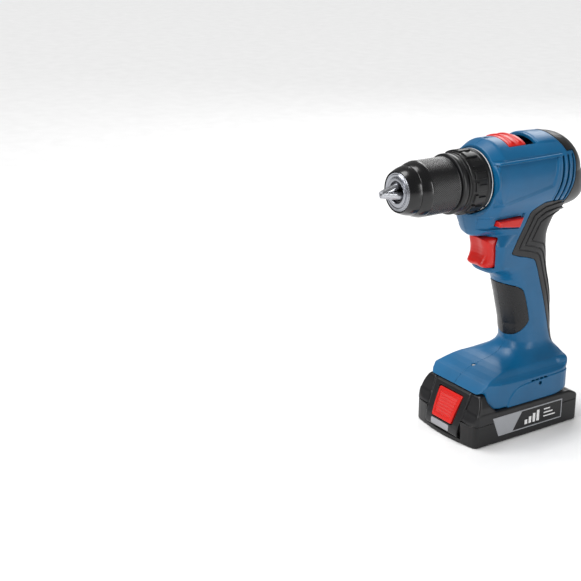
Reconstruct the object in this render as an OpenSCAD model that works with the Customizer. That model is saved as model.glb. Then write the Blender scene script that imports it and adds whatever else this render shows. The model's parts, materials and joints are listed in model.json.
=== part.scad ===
// Cordless drill driver: a two-half clamshell body with a keyless chuck, a torque collar,
// a two-stage planetary gearbox, a brushless motor, a trigger switch and a slide-on battery.
// Millimetres. +Z is up, the chuck points along -Y, +X is the drill's left side, and the
// origin is the centre of the battery's bottom face.

/* [Barrel] */
// Height of the spindle axis above the battery's bottom face
axis_z = 213.5; // [205:0.5:230]
// Radius of the motor barrel
barrel_r = 32; // [31:0.5:40]
// Distance from the origin forward to the barrel's front edge
barrel_front = 39.5; // [39:0.5:50]
// Distance from the origin back to the joint with the rear cap
barrel_rear = 44; // [43:0.5:55]
// Wall of the clamshell
wall = 2.8; // [2:0.1:3.5]
// Height of the flat-topped ridge over the barrel's radius
ridge_h = 0.8; // [0.2:0.1:3]
// Half width of the ridge's flat top
ridge_w = 14; // [10:0.5:18]
// Length of the rear cap
cap_l = 18; // [16:0.5:26]

/* [Chuck] */
// Radius of the knurled sleeve
sleeve_r = 21.8; // [21:0.1:26]
// Length of the knurled part of the sleeve
knurl_l = 27.5; // [22:0.5:34]
// Length of the sleeve's tapered nose
nose_l = 17.6; // [15:0.5:22]
// Radius of the silver nose ring
nose_r = 15.2; // [14:0.1:17]
// Radius of the ring behind the sleeve
rear_ring_r = 23.7; // [22:0.1:27]
// Length of the ring behind the sleeve
rear_ring_l = 5.5; // [4:0.5:8]
// How far the closed jaws stand out of the nose
jaw_reach = 15.2; // [12:0.2:18]
// Radius of each jaw's round body
jaw_r = 3.2; // [2.8:0.1:3.4]
// Length of a jaw along its own axis
jaw_l = 34; // [30:0.5:36]
// Angle between a jaw and the spindle
jaw_slant = 17; // [15:0.5:19]
// Smallest bit that the jaws grip, by diameter
grip_min = 1.6; // [1:0.1:2]
// Largest bit that the jaws grip, by diameter
grip_max = 13; // [8:0.5:13]

/* [Torque collar] */
// Radius of the collar over its lugs
collar_r = 25.7; // [25:0.1:29]
// Length of the collar
collar_l = 22.5; // [20:0.5:30]
// Number of grip lugs around the collar
lug_count = 16; // [10:1:24]

/* [Gearbox] */
// Gear module
gear_m = 0.8; // [0.7:0.05:0.85]
// Teeth of the motor pinion and of the second sun
sun_teeth = 12; // [12:12:12]
// Teeth of each planet
planet_teeth = 15; // [15:15:15]
// Teeth of each ring gear
ring_teeth = 42; // [42:42:42]
// Face width of the planets
planet_w = 8; // [6:0.5:8]
// Outer radius of the gearbox case
case_r = 24; // [23:0.1:26]
// Radius of the output spindle in its bearing
spindle_r = 7; // [6:0.1:7.5]

/* [Motor] */
// Outer radius of the stator
stator_r = 22; // [20:0.5:25]
// Length of the stator's lamination stack
stator_l = 22; // [15:0.5:24]
// Radius of the rotor
rotor_r = 11; // [9:0.5:12]
// Radius of the rotor shaft
shaft_r = 2.5; // [2:0.1:3]

/* [Handle] */
// Half width of the handle at its waist
handle_w = 17; // [15:0.25:21]
// Depth of the handle from front to back
handle_d = 44; // [40:0.5:50]
// Lean of the handle back from upright
handle_lean = 12; // [8:0.5:16]
// Thickness of the rubber grips
grip_t = 1.4; // [1:0.1:1.8]
// Width of the trigger
trigger_w = 24; // [18:0.5:26]
// Travel of the trigger
trigger_travel = 6.5; // [4:0.5:8]
// Travel of the speed selector
selector_travel = 10; // [8:0.5:12]

/* [Battery] */
// Length of the battery from front to back
batt_l = 114; // [108:1:140]
// Width of the battery
batt_w = 76; // [74:1:92]
// Height of the battery's lower tray
tray_h = 19; // [15:0.5:22]
// Height of the battery's shoulders, where the skirt of the body rests
shoulder_z = 28.3; // [26:0.1:34]
// Height of the rail block over the shoulders
block_h = 12.7; // [11:0.1:15]
// Half width of the rail block
block_w = 27; // [25:0.5:30]
// Wall of the battery's casing
batt_wall = 2.2; // [1.8:0.1:3]
// Half width of the nose's middle panel, which carries the latch
nose_panel_w = 21; // [19:0.5:24]
// How far the middle panel stands in front of the corners
nose_bow = 4.5; // [2:0.5:6]
// Radius of one cell
cell_r = 9.15; // [8.9:0.05:9.2]
// Length of one cell
cell_l = 65; // [64:0.5:66]

/* [Clearances] */
// Radial clearance of a shaft in its bearing
run_gap = 0.05; // [0.02:0.01:0.1]
// Clearance around a sliding or loose piece
slip_gap = 0.3; // [0.25:0.05:0.5]
// Gap between the rotating groups and what they turn beside
spin_gap = 0.6; // [0.4:0.1:1]

/* [Hidden] */
$fn = 96;

// Stations along the spindle, from the barrel forward
collar_y1 = -barrel_front - spin_gap;
collar_y0 = collar_y1 - collar_l;
chuck_y1 = collar_y0 - spin_gap;
sleeve_y1 = chuck_y1 - rear_ring_l - slip_gap;
knurl_y0 = sleeve_y1 - knurl_l;
sleeve_y0 = knurl_y0 - nose_l;
tip_y = sleeve_y0 - jaw_reach;

// Chuck inside: the jaws' nut, its groove and the bore for the bit
jaw_travel = (grip_max - grip_min) / 2 / sin(jaw_slant);
jaw_tip_r = 2.75;
jaw_axis_tip = jaw_tip_r - jaw_r / cos(jaw_slant);
nut_l = 6;
nut_y0 = sleeve_y0 + 9;
nut_r = 16.4;
groove_r = 9.5;
core_r = 17.6;
bit_bore_r = grip_max / 2 + 0.4;
thread_r = 6.35;
thread_l = 17;
screw_head_l = 4;
core_y1 = chuck_y1 - 1.5;
bore_floor_y = core_y1 - thread_l - 4;
open_jaw_r = jaw_axis_tip + (jaw_l + jaw_travel) * sin(jaw_slant) + jaw_r * cos(jaw_slant);

// Stations along the gearbox and motor, from the collar back
tube_r = 17;
flange_y0 = collar_y1 - 8.5;
case_floor_y = -barrel_front + 3;
carrier2_y = case_floor_y + 1;
carrier_t = 3.4;
stage2_y = carrier2_y + carrier_t + spin_gap;
carrier1_y = stage2_y + planet_w + 3.4;
stage1_y = carrier1_y + carrier_t + spin_gap;
case_y1 = stage1_y + planet_w + 3;
plate_t = 6;
motor_y = case_y1 + plate_t;
stator_y = motor_y + 6.5;
board_y = stator_y + stator_l + 5.4;
fan_y = board_y + 2.6;
fan_l = 6;
rear_bearing_y = fan_y + fan_l + 1;
case_bore = case_r - 2.7;
pitch_sun = gear_m * sun_teeth / 2;
pitch_planet = gear_m * planet_teeth / 2;
pitch_ring = gear_m * ring_teeth / 2;
orbit_r = pitch_sun + pitch_planet;
pin_r = 1.6;
backlash = 0.1;
pressure = 25;

// Battery stations
batt_y0 = -batt_l / 2;
batt_y1 = batt_l / 2;
corner_r = 5;
block_top = shoulder_z + block_h;
block_y0 = batt_y0 + 12;
block_y1 = 30;
groove_z = shoulder_z + 3.2;
groove_h = 4.2;
groove_d = 3.2;
cell_pitch = 2 * cell_r + 0.6;
cell_z = batt_wall + cell_r + 0.3;
latch_w = 14.5;
latch_h = 25;
spring_l = 7.1;
panel_z0 = 4.2;
panel_y0 = batt_y0 - nose_bow;
panel_low_h = 8;
latch_set = 3.27;

// Base of the body
skirt_z = shoulder_z + slip_gap;
rail_y0 = -34;
bay_top = block_top + 0.5;
base_front_z = bay_top + 0.6;
base_top = base_front_z + 10;
base_w = 35;
base_rear = 46.5;
base_front = -50;
base_nose_w = 24;
panel_y1 = base_front - 0.6;
latch_tilt = latch_set + atan((panel_y1 - panel_y0) / (block_top - panel_z0 - panel_low_h));
side_hole_y = 12.5;
side_hole_z = 42.3 - 28.6 + skirt_z;
side_hole_r = 1.65;
side_hole_l = 7;

// Body screws, as [y, z] places
screw_r = 1.5;
screw_head_r = 3;
boss_r = 3.6;
screw_at = [
    [-39, axis_z - 36.5],
    [20.5, axis_z - 50],
    [-1.5, axis_z - 86.5],
    [30.5, base_top + 30],
    [-35.5, base_top - 5],
    [38, base_top - 3]
];

// Heights and width of the neck
neck_half_w = handle_w + 5;
collar_floor = axis_z - collar_r - 1.2;
trigger_top = axis_z - 46;
trigger_foot = axis_z - 73;

// Side outline of the neck and handle, clockwise from the front under the collar
body_side = [
    [-38, axis_z - 18],
    [28, axis_z - 18],
    [44, axis_z - 29],
    [34, axis_z - 39],
    [29.5, axis_z - 51],
    [29.7, axis_z - 63],
    [32.5, axis_z - 77],
    [38.4, axis_z - 100.5],
    [41.8, axis_z - 122],
    [44.5, base_top + 18],
    [44.5, base_top - 6],
    [-2, base_top - 6],
    [4, base_top + 18],
    [-11, axis_z - 90],
    [-17.5, axis_z - 79],
    [-26.5, axis_z - 76.5],
    [-25, trigger_foot],
    [-26.5, trigger_top],
    [-38.5, trigger_top],
    [-49, axis_z - 42.5],
    [-54, collar_floor - 2],
    [-54, axis_z - 18]
];

// Front outline of the neck and handle, clockwise
body_front = [
    [-neck_half_w, axis_z - 16],
    [neck_half_w, axis_z - 16],
    [neck_half_w, axis_z - 36],
    [handle_w + 0.8, axis_z - 72],
    [handle_w, axis_z - 100],
    [handle_w, base_top + 26],
    [handle_w + 3.5, base_top - 8],
    [-handle_w - 3.5, base_top - 8],
    [-handle_w, base_top + 26],
    [-handle_w, axis_z - 100],
    [-handle_w - 0.8, axis_z - 72],
    [-neck_half_w, axis_z - 36]
];

// Bearings, the first carrier, the stator slots and the rear cap's screws
bearing_out = 12;
bearing_r = 6.5;
front_bearing_r = 8;
carrier_r = pitch_ring - gear_m - 0.4;
slots = 6;
cap_screw_r = 15;

// Torque collar and its clutch nut
collar_in = case_r - 3.2 + slip_gap;
clutch_y = collar_y0 + 2.6;
clutch_nut_l = 4;

// Speed selector in its pocket, the air slots and the work light
selector_y0 = -20;
selector_y1 = -2.5;
selector_w = ridge_w + ridge_h + 1;
stem_w = 2.5;
pocket_z = axis_z + barrel_r - 1.5;
vent_count = 3;
vent_y = 22.5;
vent_pitch = 5;
vent_lean = 12;
vent_w = 1.8;
vent_h = 36;
vent_d = 16;
light_y = -29;
light_r = 1.5;

// Side outlines of the cheeks and of the middle panel, clockwise
cheek_side = [
    [batt_y0 - 0.5, tray_h],
    [batt_y0 + 0.5, tray_h + 7],
    [base_front - 0.4, block_top],
    [base_front + 8, skirt_z + 5.6],
    [base_front + 14.3, shoulder_z - 0.3],
    [base_front + 14.3, tray_h - 10],
    [batt_y0 - 0.5, tray_h - 10]
];

panel_side = [
    [panel_y0 + 1.5, panel_z0],
    [panel_y0, panel_z0 + 3],
    [panel_y0, panel_z0 + panel_low_h],
    [panel_y1, block_top],
    [base_front + 9, block_top],
    [base_front + 9, tray_h + 3],
    [batt_y0 + 5, tray_h + 3],
    [batt_y0 + 5, panel_z0]
];

batt_screw_at = [
    for (sx = [-1, 1], sy = [-1, 1]) [sx * (batt_w / 2 - 6), sy * (batt_l / 2 - 5.8)]
];

// Recess of a side label, also the label itself
label_t = 0.35;

// ---- Helpers ----

// Places children so that their Z axis runs back along the spindle from station y
module on_axis(y) {
    translate([0, y, axis_z]) rotate([-90, 0, 0]) children();
}

// A ring or disc on the spindle axis
module ring(y0, y1, r_out, r_in = 0) {
    on_axis(y0) difference() {
        cylinder(h = y1 - y0, r = r_out);
        if (r_in > 0) translate([0, 0, -1]) cylinder(h = y1 - y0 + 2, r = r_in);
    }
}

// A body turned about the spindle axis from [radius, station] points
module turned(points) {
    on_axis(0) rotate_extrude() polygon(points);
}

// A (y, z) outline extruded sideways between two x values
module side_slab(points, x0, x1) {
    translate([x0, 0, 0]) rotate([90, 0, 90]) linear_extrude(height = x1 - x0) polygon(points);
}

// A straight cylinder along X
module cross_pin(y, z, x0, x1, r) {
    translate([x0, y, z]) rotate([0, 90, 0]) cylinder(h = x1 - x0, r = r);
}

// A box from its low and high corners
module block(lo, hi) {
    translate(lo) cube(hi - lo);
}

// A plan-view rectangle with round corners
module round_rect(w, l, r) {
    union() {
        square([w - 2 * r, l], center = true);
        square([w, l - 2 * r], center = true);
        for (sx = [-1, 1], sy = [-1, 1]) {
            translate([sx * (w / 2 - r), sy * (l / 2 - r)]) circle(r = r);
        }
    }
}

// The outline moved inwards by d, for an outline listed clockwise
function unit(v) = v / norm(v);
function left_of(a, b) = let (u = unit(b - a)) [-u[1], u[0]];
function inset(p, d) = [
    for (i = [0 : len(p) - 1])
        let (
            a = p[(i + len(p) - 1) % len(p)],
            b = p[i],
            c = p[(i + 1) % len(p)],
            n = left_of(a, b),
            m = left_of(b, c)
        )
        b - d * (n + m) / (1 + n * m)
];

// Tooth outline: half the tooth's angle at a radius, from the involute of its base circle
function inv(a) = tan(a) * 180 / PI - a;
function half_tooth(z, rho, slack) =
    let (rp = gear_m * z / 2, rb = rp * cos(pressure))
    90 / z - slack / rp * 90 / PI + inv(pressure) - inv(acos(min(1, rb / max(rho, rb))));
function gear_points(z, tip, root, slack) = [
    for (k = [0 : z - 1], s = [-1, 1], j = [0 : 4])
        let (
            q = s < 0 ? j : 4 - j,
            rho = root + (tip - root) * q / 4,
            a = 360 / z * k + s * half_tooth(z, rho, slack)
        )
        [rho * cos(a), rho * sin(a)]
];
module gear_shape(z, slack = backlash) {
    rp = gear_m * z / 2;
    polygon(gear_points(z, rp + 0.8 * gear_m, rp - 1.1 * gear_m, slack));
}
module ring_shape() {
    polygon(gear_points(ring_teeth, pitch_ring + 1.1 * gear_m, pitch_ring - 0.8 * gear_m, -backlash));
}

// A round-wire coil about Z
module coil(r, wire, height, turns) {
    sides = 8;
    rings = turns * 12;
    pts = [
        for (i = [0 : rings], j = [0 : sides - 1])
            let (t = 360 * turns * i / rings, a = 360 * j / sides, q = r + wire * cos(a))
            [q * cos(t), q * sin(t), height * i / rings + wire * sin(a)]
    ];
    tube = [
        for (i = [0 : rings - 1], j = [0 : sides - 1])
            let (k = (j + 1) % sides)
            [i * sides + j, (i + 1) * sides + j, (i + 1) * sides + k, i * sides + k]
    ];
    first = [[for (j = [0 : sides - 1]) j]];
    last = [[for (j = [sides - 1 : -1 : 0]) rings * sides + j]];
    polyhedron(points = pts, faces = concat(tube, first, last));
}

// ---- Outer volumes of the body, each moved inwards by i ----

module barrel_solid(i) {
    turned([
        [0, -barrel_front + i],
        [barrel_r - 4 - i, -barrel_front + i],
        [barrel_r - i, -barrel_front + 6],
        [barrel_r - i, barrel_rear],
        [0, barrel_rear]
    ]);
    ridge_z = axis_z + barrel_r + ridge_h - i;
    slope = 8;
    translate([0, barrel_rear - 8, 0]) rotate([90, 0, 0])
        linear_extrude(height = barrel_rear + barrel_front - 8 - i) polygon([
            [-ridge_w + i / 2, ridge_z],
            [ridge_w - i / 2, ridge_z],
            [ridge_w + slope - i, ridge_z - slope],
            [ridge_w + slope - i, axis_z],
            [-ridge_w - slope + i, axis_z],
            [-ridge_w - slope + i, ridge_z - slope]
        ]);
}

// Side outline cut to a front outline
module side_by_front(i) {
    intersection() {
        side_slab(inset(body_side, i), -60, 60);
        translate([0, 100, 0]) rotate([90, 0, 0])
            linear_extrude(height = 200) polygon(inset(body_front, i));
    }
}

module neck_solid(i) {
    difference() {
        side_by_front(i);
        translate([-60, -60, -50]) cube([120, 160, axis_z - 84 + 50]);
        ring(-80, -barrel_front, collar_r + 1.2 + i);
    }
}

module handle_solid(i) {
    handle_mid = [0, 16.5, (axis_z + base_top) / 2 - 22];
    intersection() {
        side_by_front(i);
        translate(handle_mid) rotate([handle_lean, 0, 0]) translate([0, 0, -120])
            linear_extrude(height = 240)
                round_rect(2 * (handle_w + 4.5 - i), handle_d + 2 - 2 * i, 15.5 - i);
        translate([-60, -60, base_top - 30]) cube([120, 160, axis_z - base_top - 50]);
    }
}

module base_solid(i) {
    side = [
        [base_front + 9, base_front_z + 9.5],
        [-24, base_top + 4],
        [-8, base_top + 8],
        [6, base_top + 15],
        [40, base_top + 15],
        [base_rear - 0.5, base_top + 3],
        [base_rear, skirt_z],
        [-35, skirt_z],
        [-42, skirt_z + 7],
        [base_front, base_front_z]
    ];
    plan = [
        [-base_nose_w, base_front - 4],
        [-base_w + 2, -40],
        [-base_w, -25],
        [-base_w, base_rear - 8],
        [-base_w + 5, base_rear + 1],
        [base_w - 5, base_rear + 1],
        [base_w, base_rear - 8],
        [base_w, -25],
        [base_w - 2, -40],
        [base_nose_w, base_front - 4]
    ];
    front = [
        [-base_w - 1, base_top - 4],
        [-base_w + 8, base_top + 3],
        [-handle_w - 6, base_top + 7],
        [-handle_w - 2, base_top + 15],
        [handle_w + 2, base_top + 15],
        [handle_w + 6, base_top + 7],
        [base_w - 8, base_top + 3],
        [base_w + 1, base_top - 4],
        [base_w + 1, skirt_z - 10],
        [-base_w - 1, skirt_z - 10]
    ];
    intersection() {
        side_slab(inset(side, i), -60, 60);
        linear_extrude(height = 120) polygon(inset(plan, i));
        translate([0, 100, 0]) rotate([90, 0, 0])
            linear_extrude(height = 200) polygon(inset(front, i));
    }
}

module grip_solid(i) {
    neck_solid(i);
    handle_solid(i);
}

module body_solid(i) {
    barrel_solid(i);
    grip_solid(i);
    base_solid(i);
}

// Zones of the two rubber grips, as (y, z) outlines
module rear_grip_zone() {
    side_slab([
        [2.5, axis_z - 28],
        [-12.5, axis_z - 60],
        [13.5, axis_z - 69.5],
        [24, axis_z - 95],
        [33, base_top + 40],
        [39, base_top + 17],
        [60, base_top + 17],
        [60, axis_z - 28]
    ], -60, 60);
}
module front_grip_zone() {
    side_slab([
        [-20, axis_z - 87],
        [3.5, axis_z - 93],
        [7, axis_z - 97],
        [14, axis_z - 122],
        [11, axis_z - 126],
        [-3, base_top + 25],
        [-20, base_top + 21]
    ], -60, 60);
}
module grip_skin() {
    difference() {
        grip_solid(0);
        grip_solid(grip_t);
        barrel_solid(0);
    }
}

// Space for the battery's rail block, with the two rails left standing
module battery_bay() {
    bay_w = block_w + 0.5;
    block([-bay_w, -70, skirt_z - 5], [bay_w, base_rear - 4, bay_top]);
}

// Openings through the wall for the controls and the airflow
module control_cuts() {
    tw = trigger_w / 2 + slip_gap;
    block([-tw, -45, trigger_foot + 1], [tw, -15, trigger_top - 0.2]);
    side_slab(lever_outline(slip_gap), -60, 60);
    block([-barrel_r, selector_y0 - slip_gap, pocket_z],
        [barrel_r, selector_y1 + selector_travel + slip_gap, axis_z + barrel_r + 10]);
    block([-stem_w - slip_gap, selector_y0 + 4 - slip_gap, axis_z],
        [stem_w + slip_gap, selector_y0 + 10 + selector_travel + slip_gap, axis_z + 60]);
    for (k = [0 : vent_count - 1], sx = [-1, 1]) {
        translate([sx * (barrel_r - 2), vent_y + vent_pitch * k, axis_z - 20]) rotate([-vent_lean, 0, 0])
            translate([-vent_d / 2, -vent_w / 2, 0]) cube([vent_d, vent_w, vent_h]);
    }
    for (sx = [-1, 1]) {
        cross_pin(side_hole_y, side_hole_z, sx * base_w - side_hole_l,
            sx * base_w + side_hole_l, side_hole_r);
    }
    translate([0, light_y, base_top - 3]) cylinder(h = 20, r = light_r + 0.1, $fn = 32);
}

// Screw posts inside the body
module screw_posts(x0, x1) {
    for (p = screw_at) cross_pin(p[0], p[1], x0, x1, boss_r);
}
module screw_holes(r, x0, x1) {
    for (p = screw_at) cross_pin(p[0], p[1], x0, x1, r);
}

// One half of the shell before it is cut to its side
module shell() {
    difference() {
        union() {
            difference() {
                body_solid(0);
                body_solid(wall);
                battery_bay();
            }
            intersection() {
                union() {
                    screw_posts(-60, 60);
                    for (sx = [-1, 1]) cross_pin(side_hole_y, side_hole_z, sx * 32 - 5, sx * 32 + 5, 4.2);
                }
                difference() {
                    body_solid(0.5);
                    ring(-70, 70, case_r + 1);
                    battery_bay();
                }
            }
            rail_x = block_w - groove_d + 0.8;
            rail_l = base_w - wall + 0.5 - rail_x;
            for (x0 = [rail_x, -rail_x - rail_l]) {
                block([x0, rail_y0, groove_z + 0.5],
                    [x0 + rail_l, base_rear - 8, groove_z + groove_h - 0.5]);
            }
        }
        ring(-50, barrel_rear - 5, case_r + 0.02);
        ring(-barrel_front - 3, -barrel_front + 10, case_r + 0.02);
        ring(barrel_rear - 3, barrel_rear + 1, barrel_r - 1.4);
        control_cuts();
        intersection() {
            union() {
                rear_grip_zone();
                front_grip_zone();
            }
            grip_skin();
        }
    }
}

// ---- Body ----

module housing_left() {
    color("#0f5c96") difference() {
        shell();
        block([-90, -200, -10], [0, 200, 300]);
        screw_holes(screw_r - 0.1, -1, 10.5);
    }
}

module housing_right() {
    color("#0f5c96") difference() {
        shell();
        block([0, -200, -10], [90, 200, 300]);
        screw_holes(screw_r + 0.2, -60, 1);
        for (p = screw_at) cross_pin(p[0], p[1], -60, -6, screw_head_r + 0.2);
    }
}

module rear_cap() {
    y0 = barrel_rear;
    y1 = barrel_rear + cap_l;
    t = 2.4;
    color("#1b1b1e") difference() {
        union() {
            turned([
                [barrel_r - t, y0],
                [barrel_r, y0],
                [barrel_r - 0.8, y0 + 5],
                [barrel_r - 5, y0 + 12],
                [barrel_r - 13, y1 - 1.2],
                [barrel_r - 18, y1],
                [0, y1],
                [0, y1 - t],
                [barrel_r - 19, y1 - t],
                [barrel_r - 14.5, y1 - t - 1.4],
                [barrel_r - 7.5, y0 + 11],
                [barrel_r - 3.2, y0 + 4]
            ]);
            ring(barrel_rear - 2.8, barrel_rear + 0.5, barrel_r - 1.6, barrel_r - 3.4);
            ring(rear_bearing_y, y1 - 1, 9, bearing_r);
            for (a = [45, 225]) cap_post(a, 3.2, y1 - 7);
        }
        for (a = [45, 225]) on_axis(y1 - 12) rotate(a) translate([cap_screw_r, 0, 0])
            cylinder(h = 30, r = 1.2, $fn = 32);
    }
}
module cap_post(a, r, y) {
    on_axis(y) rotate(a) translate([cap_screw_r, 0, 0]) cylinder(h = 5.5, r = r);
}

module cap_screws() {
    y1 = barrel_rear + cap_l;
    color("#8b8f94") for (a = [45, 225]) on_axis(y1 - 11) rotate(a)
        translate([cap_screw_r, 0, 0]) {
            cylinder(h = 11, r = 1.15, $fn = 32);
            translate([0, 0, 11]) cylinder(h = 1.6, r = 2.4, $fn = 32);
        }
}

module rear_grip_half(sx) {
    color("#232326") intersection() {
        grip_skin();
        rear_grip_zone();
        block([sx > 0 ? 0 : -90, -200, 0], [sx > 0 ? 90 : 0, 200, 300]);
    }
}
module rear_grip_left() {
    rear_grip_half(1);
}
module rear_grip_right() {
    rear_grip_half(-1);
}

module front_grip_half(sx) {
    color("#1c1c20") intersection() {
        grip_skin();
        front_grip_zone();
        block([sx > 0 ? 0 : -90, -200, 0], [sx > 0 ? 90 : 0, 200, 300]);
    }
}
module front_grip_left() {
    front_grip_half(1);
}
module front_grip_right() {
    front_grip_half(-1);
}

module housing_screws() {
    color("#3a3d42") for (p = screw_at) {
        cross_pin(p[0], p[1], -6, 10, screw_r - 0.1);
        difference() {
            cross_pin(p[0], p[1], -8.6, -6, screw_head_r - 0.2);
            cross_pin(p[0], p[1], -9, -7, 1.4, $fn = 6);
        }
    }
}

// ---- Gearbox ----

module gearbox_case() {
    color("#2b2b2e") turned([
        [bearing_out, collar_y0 + 1.5],
        [tube_r, collar_y0 + 1.5],
        [tube_r, flange_y0],
        [case_r - 3.2, flange_y0],
        [case_r - 3.2, -barrel_front - 0.3],
        [case_r, -barrel_front - 0.3],
        [case_r, case_y1],
        [case_bore, case_y1],
        [case_bore, case_floor_y],
        [spindle_r + 1.5, case_floor_y],
        [spindle_r + 1.5, case_floor_y - 2.5],
        [bearing_out, case_floor_y - 2.5]
    ]);
}

module ring_gear(y, w, r_out) {
    on_axis(y) difference() {
        cylinder(h = w, r = r_out);
        translate([0, 0, -1]) linear_extrude(height = w + 2) ring_shape();
    }
}
module ring_gear_1() {
    color("#7d8085") ring_gear(stage1_y - 0.5, planet_w + 1.5, case_bore);
}
module ring_gear_2() {
    color("#7d8085") ring_gear(stage2_y - 0.2, planet_w, case_bore - run_gap);
}

module motor_plate() {
    color("#3b3b3f") turned([
        [front_bearing_r, case_y1],
        [case_r, case_y1],
        [case_r, case_y1 + 3],
        [front_bearing_r + 3, case_y1 + 3],
        [front_bearing_r + 3, case_y1 + plate_t],
        [front_bearing_r, case_y1 + plate_t]
    ]);
}

module gearbox_screws() {
    color("#8b8f94") for (a = [30, 150, 210, 330]) on_axis(case_y1 + 3) rotate(a)
        translate([case_r - 3.5, 0, 0]) {
            cylinder(h = 2, r = 2.2, $fn = 32);
            translate([0, 0, 1.9]) cylinder(h = 0.6, r = 1.6, $fn = 6);
        }
}

// A shielded ball bearing, drawn closed
module bearing(y0, y1, r_in, r_out) {
    difference() {
        ring(y0, y1, r_out, r_in);
        for (y = [y0 - 1, y1 - 0.4]) ring(y, y + 1.4, r_out - 1.2, r_in + 1);
    }
}
module spindle_bearing() {
    color("#a9adb2") bearing(case_floor_y - 2.5 - 8, case_floor_y - 2.5, spindle_r + run_gap, bearing_out);
}

module output_spindle() {
    color("#9a9da1") difference() {
        union() {
            ring(core_y1 - thread_l, core_y1, thread_r);
            ring(core_y1, carrier2_y, spindle_r);
            ring(core_y1, core_y1 + 3, spindle_r + 1.6);
        }
        ring(core_y1 - thread_l - 1, core_y1 - 3, 2.3);
    }
}

// A planet carrier: a disc with three pins
module carrier(y, r) {
    ring(y, y + carrier_t, r);
    for (k = [0 : 2]) on_axis(y) rotate(120 * k) translate([orbit_r, 0, 0])
        cylinder(h = carrier_t + planet_w + spin_gap, r = pin_r, $fn = 48);
}
module carrier_2() {
    color("#85888d") carrier(carrier2_y, carrier_r);
}
module carrier_1() {
    color("#85888d") {
        carrier(carrier1_y, carrier_r);
        on_axis(stage2_y) linear_extrude(height = carrier1_y - stage2_y) gear_shape(sun_teeth);
    }
}

module planet(y, k) {
    color("#b0b3b8") on_axis(y) rotate(120 * k) translate([orbit_r, 0, 0]) difference() {
        rotate(180 + 180 / planet_teeth) linear_extrude(height = planet_w) gear_shape(planet_teeth);
        translate([0, 0, -1]) cylinder(h = planet_w + 2, r = pin_r + run_gap, $fn = 48);
    }
}
module planet_1a() {
    planet(stage1_y, 0);
}
module planet_1b() {
    planet(stage1_y, 1);
}
module planet_1c() {
    planet(stage1_y, 2);
}
module planet_2a() {
    planet(stage2_y, 0);
}
module planet_2b() {
    planet(stage2_y, 1);
}
module planet_2c() {
    planet(stage2_y, 2);
}

// ---- Motor ----

module motor_stator() {
    bore = rotor_r + 0.6;
    color("#6f7278") on_axis(stator_y) {
        difference() {
            cylinder(h = stator_l, r = stator_r);
            translate([0, 0, -1]) cylinder(h = stator_l + 2, r = stator_r - 3);
        }
        for (k = [0 : slots - 1]) rotate(k * 360 / slots) difference() {
            union() {
                translate([bore - 1, -2, 0]) cube([stator_r - bore - 1, 4, stator_l]);
                translate([bore - 1, -4.5, 0]) cube([2.6, 9, stator_l]);
            }
            translate([0, 0, -1]) cylinder(h = stator_l + 2, r = bore);
        }
    }
}

module stator_coils() {
    bore = rotor_r + 0.6;
    x0 = bore + 2.2;
    color("#b4713a") on_axis(stator_y) for (k = [0 : slots - 1]) rotate(k * 360 / slots)
        difference() {
            translate([x0, -4.2, -4]) cube([stator_r - 3.6 - x0, 8.4, stator_l + 8]);
            translate([x0 - 1, -2.05, -0.5]) cube([stator_r, 4.1, stator_l + 1]);
        }
}

module motor_rotor() {
    color("#4a4c50") ring(stator_y - 0.5, stator_y + stator_l + 0.5, rotor_r, shaft_r);
}

module rotor_shaft() {
    color("#c0c3c8") union() {
        ring(stage1_y + planet_w + 0.5, rear_bearing_y + 5, shaft_r);
        on_axis(stage1_y) linear_extrude(height = planet_w + 1) gear_shape(sun_teeth);
    }
}

module motor_fan() {
    color("#1f1f22") on_axis(fan_y) {
        difference() {
            union() {
                cylinder(h = fan_l, r = 5);
                translate([0, 0, fan_l - 1.4]) cylinder(h = 1.4, r = stator_r - 1);
                for (k = [0 : 10]) rotate(k * 360 / 11) rotate([0, 0, 18])
                    translate([4.5, -0.6, 0]) cube([stator_r - 6.5, 1.2, fan_l - 1]);
            }
            translate([0, 0, -1]) cylinder(h = fan_l + 2, r = shaft_r);
        }
    }
}

module front_bearing() {
    color("#a9adb2") bearing(case_y1 + 0.5, case_y1 + plate_t, shaft_r + run_gap, front_bearing_r);
}
module rear_bearing() {
    color("#a9adb2") bearing(rear_bearing_y + 0.2, rear_bearing_y + 5, shaft_r + run_gap, bearing_r);
}

module sensor_board() {
    color("#1f5c3a") ring(board_y, board_y + 1.2, stator_r - 0.5, 9);
}

// ---- Torque collar and clutch ----

module torque_collar() {
    r0 = collar_r - 1.4;
    lug_deg = 360 / lug_count;
    color("#1a1a1d") difference() {
        union() {
            turned([
                [tube_r + slip_gap, collar_y0],
                [r0 - 0.6, collar_y0],
                [r0, collar_y0 + 2],
                [r0, collar_y1 - 7],
                [r0 + 0.6, collar_y1 - 6],
                [r0 + 0.6, collar_y1],
                [collar_in, collar_y1],
                [collar_in, collar_y0 + 2.2],
                [tube_r + slip_gap, collar_y0 + 2.2]
            ]);
            for (k = [0 : lug_count - 1]) on_axis(collar_y0 + 3) rotate((k + 0.5) * lug_deg)
                intersection() {
                    translate([r0 - 1, -collar_r * lug_deg / 240, 0])
                        cube([3, collar_r * lug_deg / 120, collar_l - 9.4]);
                    cylinder(h = collar_l, r = collar_r);
                }
        }
    }
}

module clutch_nut() {
    color("#8f9296") ring(clutch_y, clutch_y + clutch_nut_l, collar_in - slip_gap - 0.2, tube_r + run_gap);
}

module clutch_spring() {
    wire = 0.85;
    y0 = clutch_y + clutch_nut_l + wire + 0.1;
    y1 = flange_y0 - wire - 0.1;
    color("#b5b8bc") on_axis(y0) coil((tube_r + collar_in) / 2, wire, y1 - y0, 3);
}

// ---- Chuck ----

// Places children along jaw k's own axis: their Z axis runs back and outwards from the tip
module along_jaw(k) {
    on_axis(tip_y) rotate(120 * k + 30) translate([jaw_axis_tip, 0, 0])
        rotate([0, jaw_slant, 0]) children();
}

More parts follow.
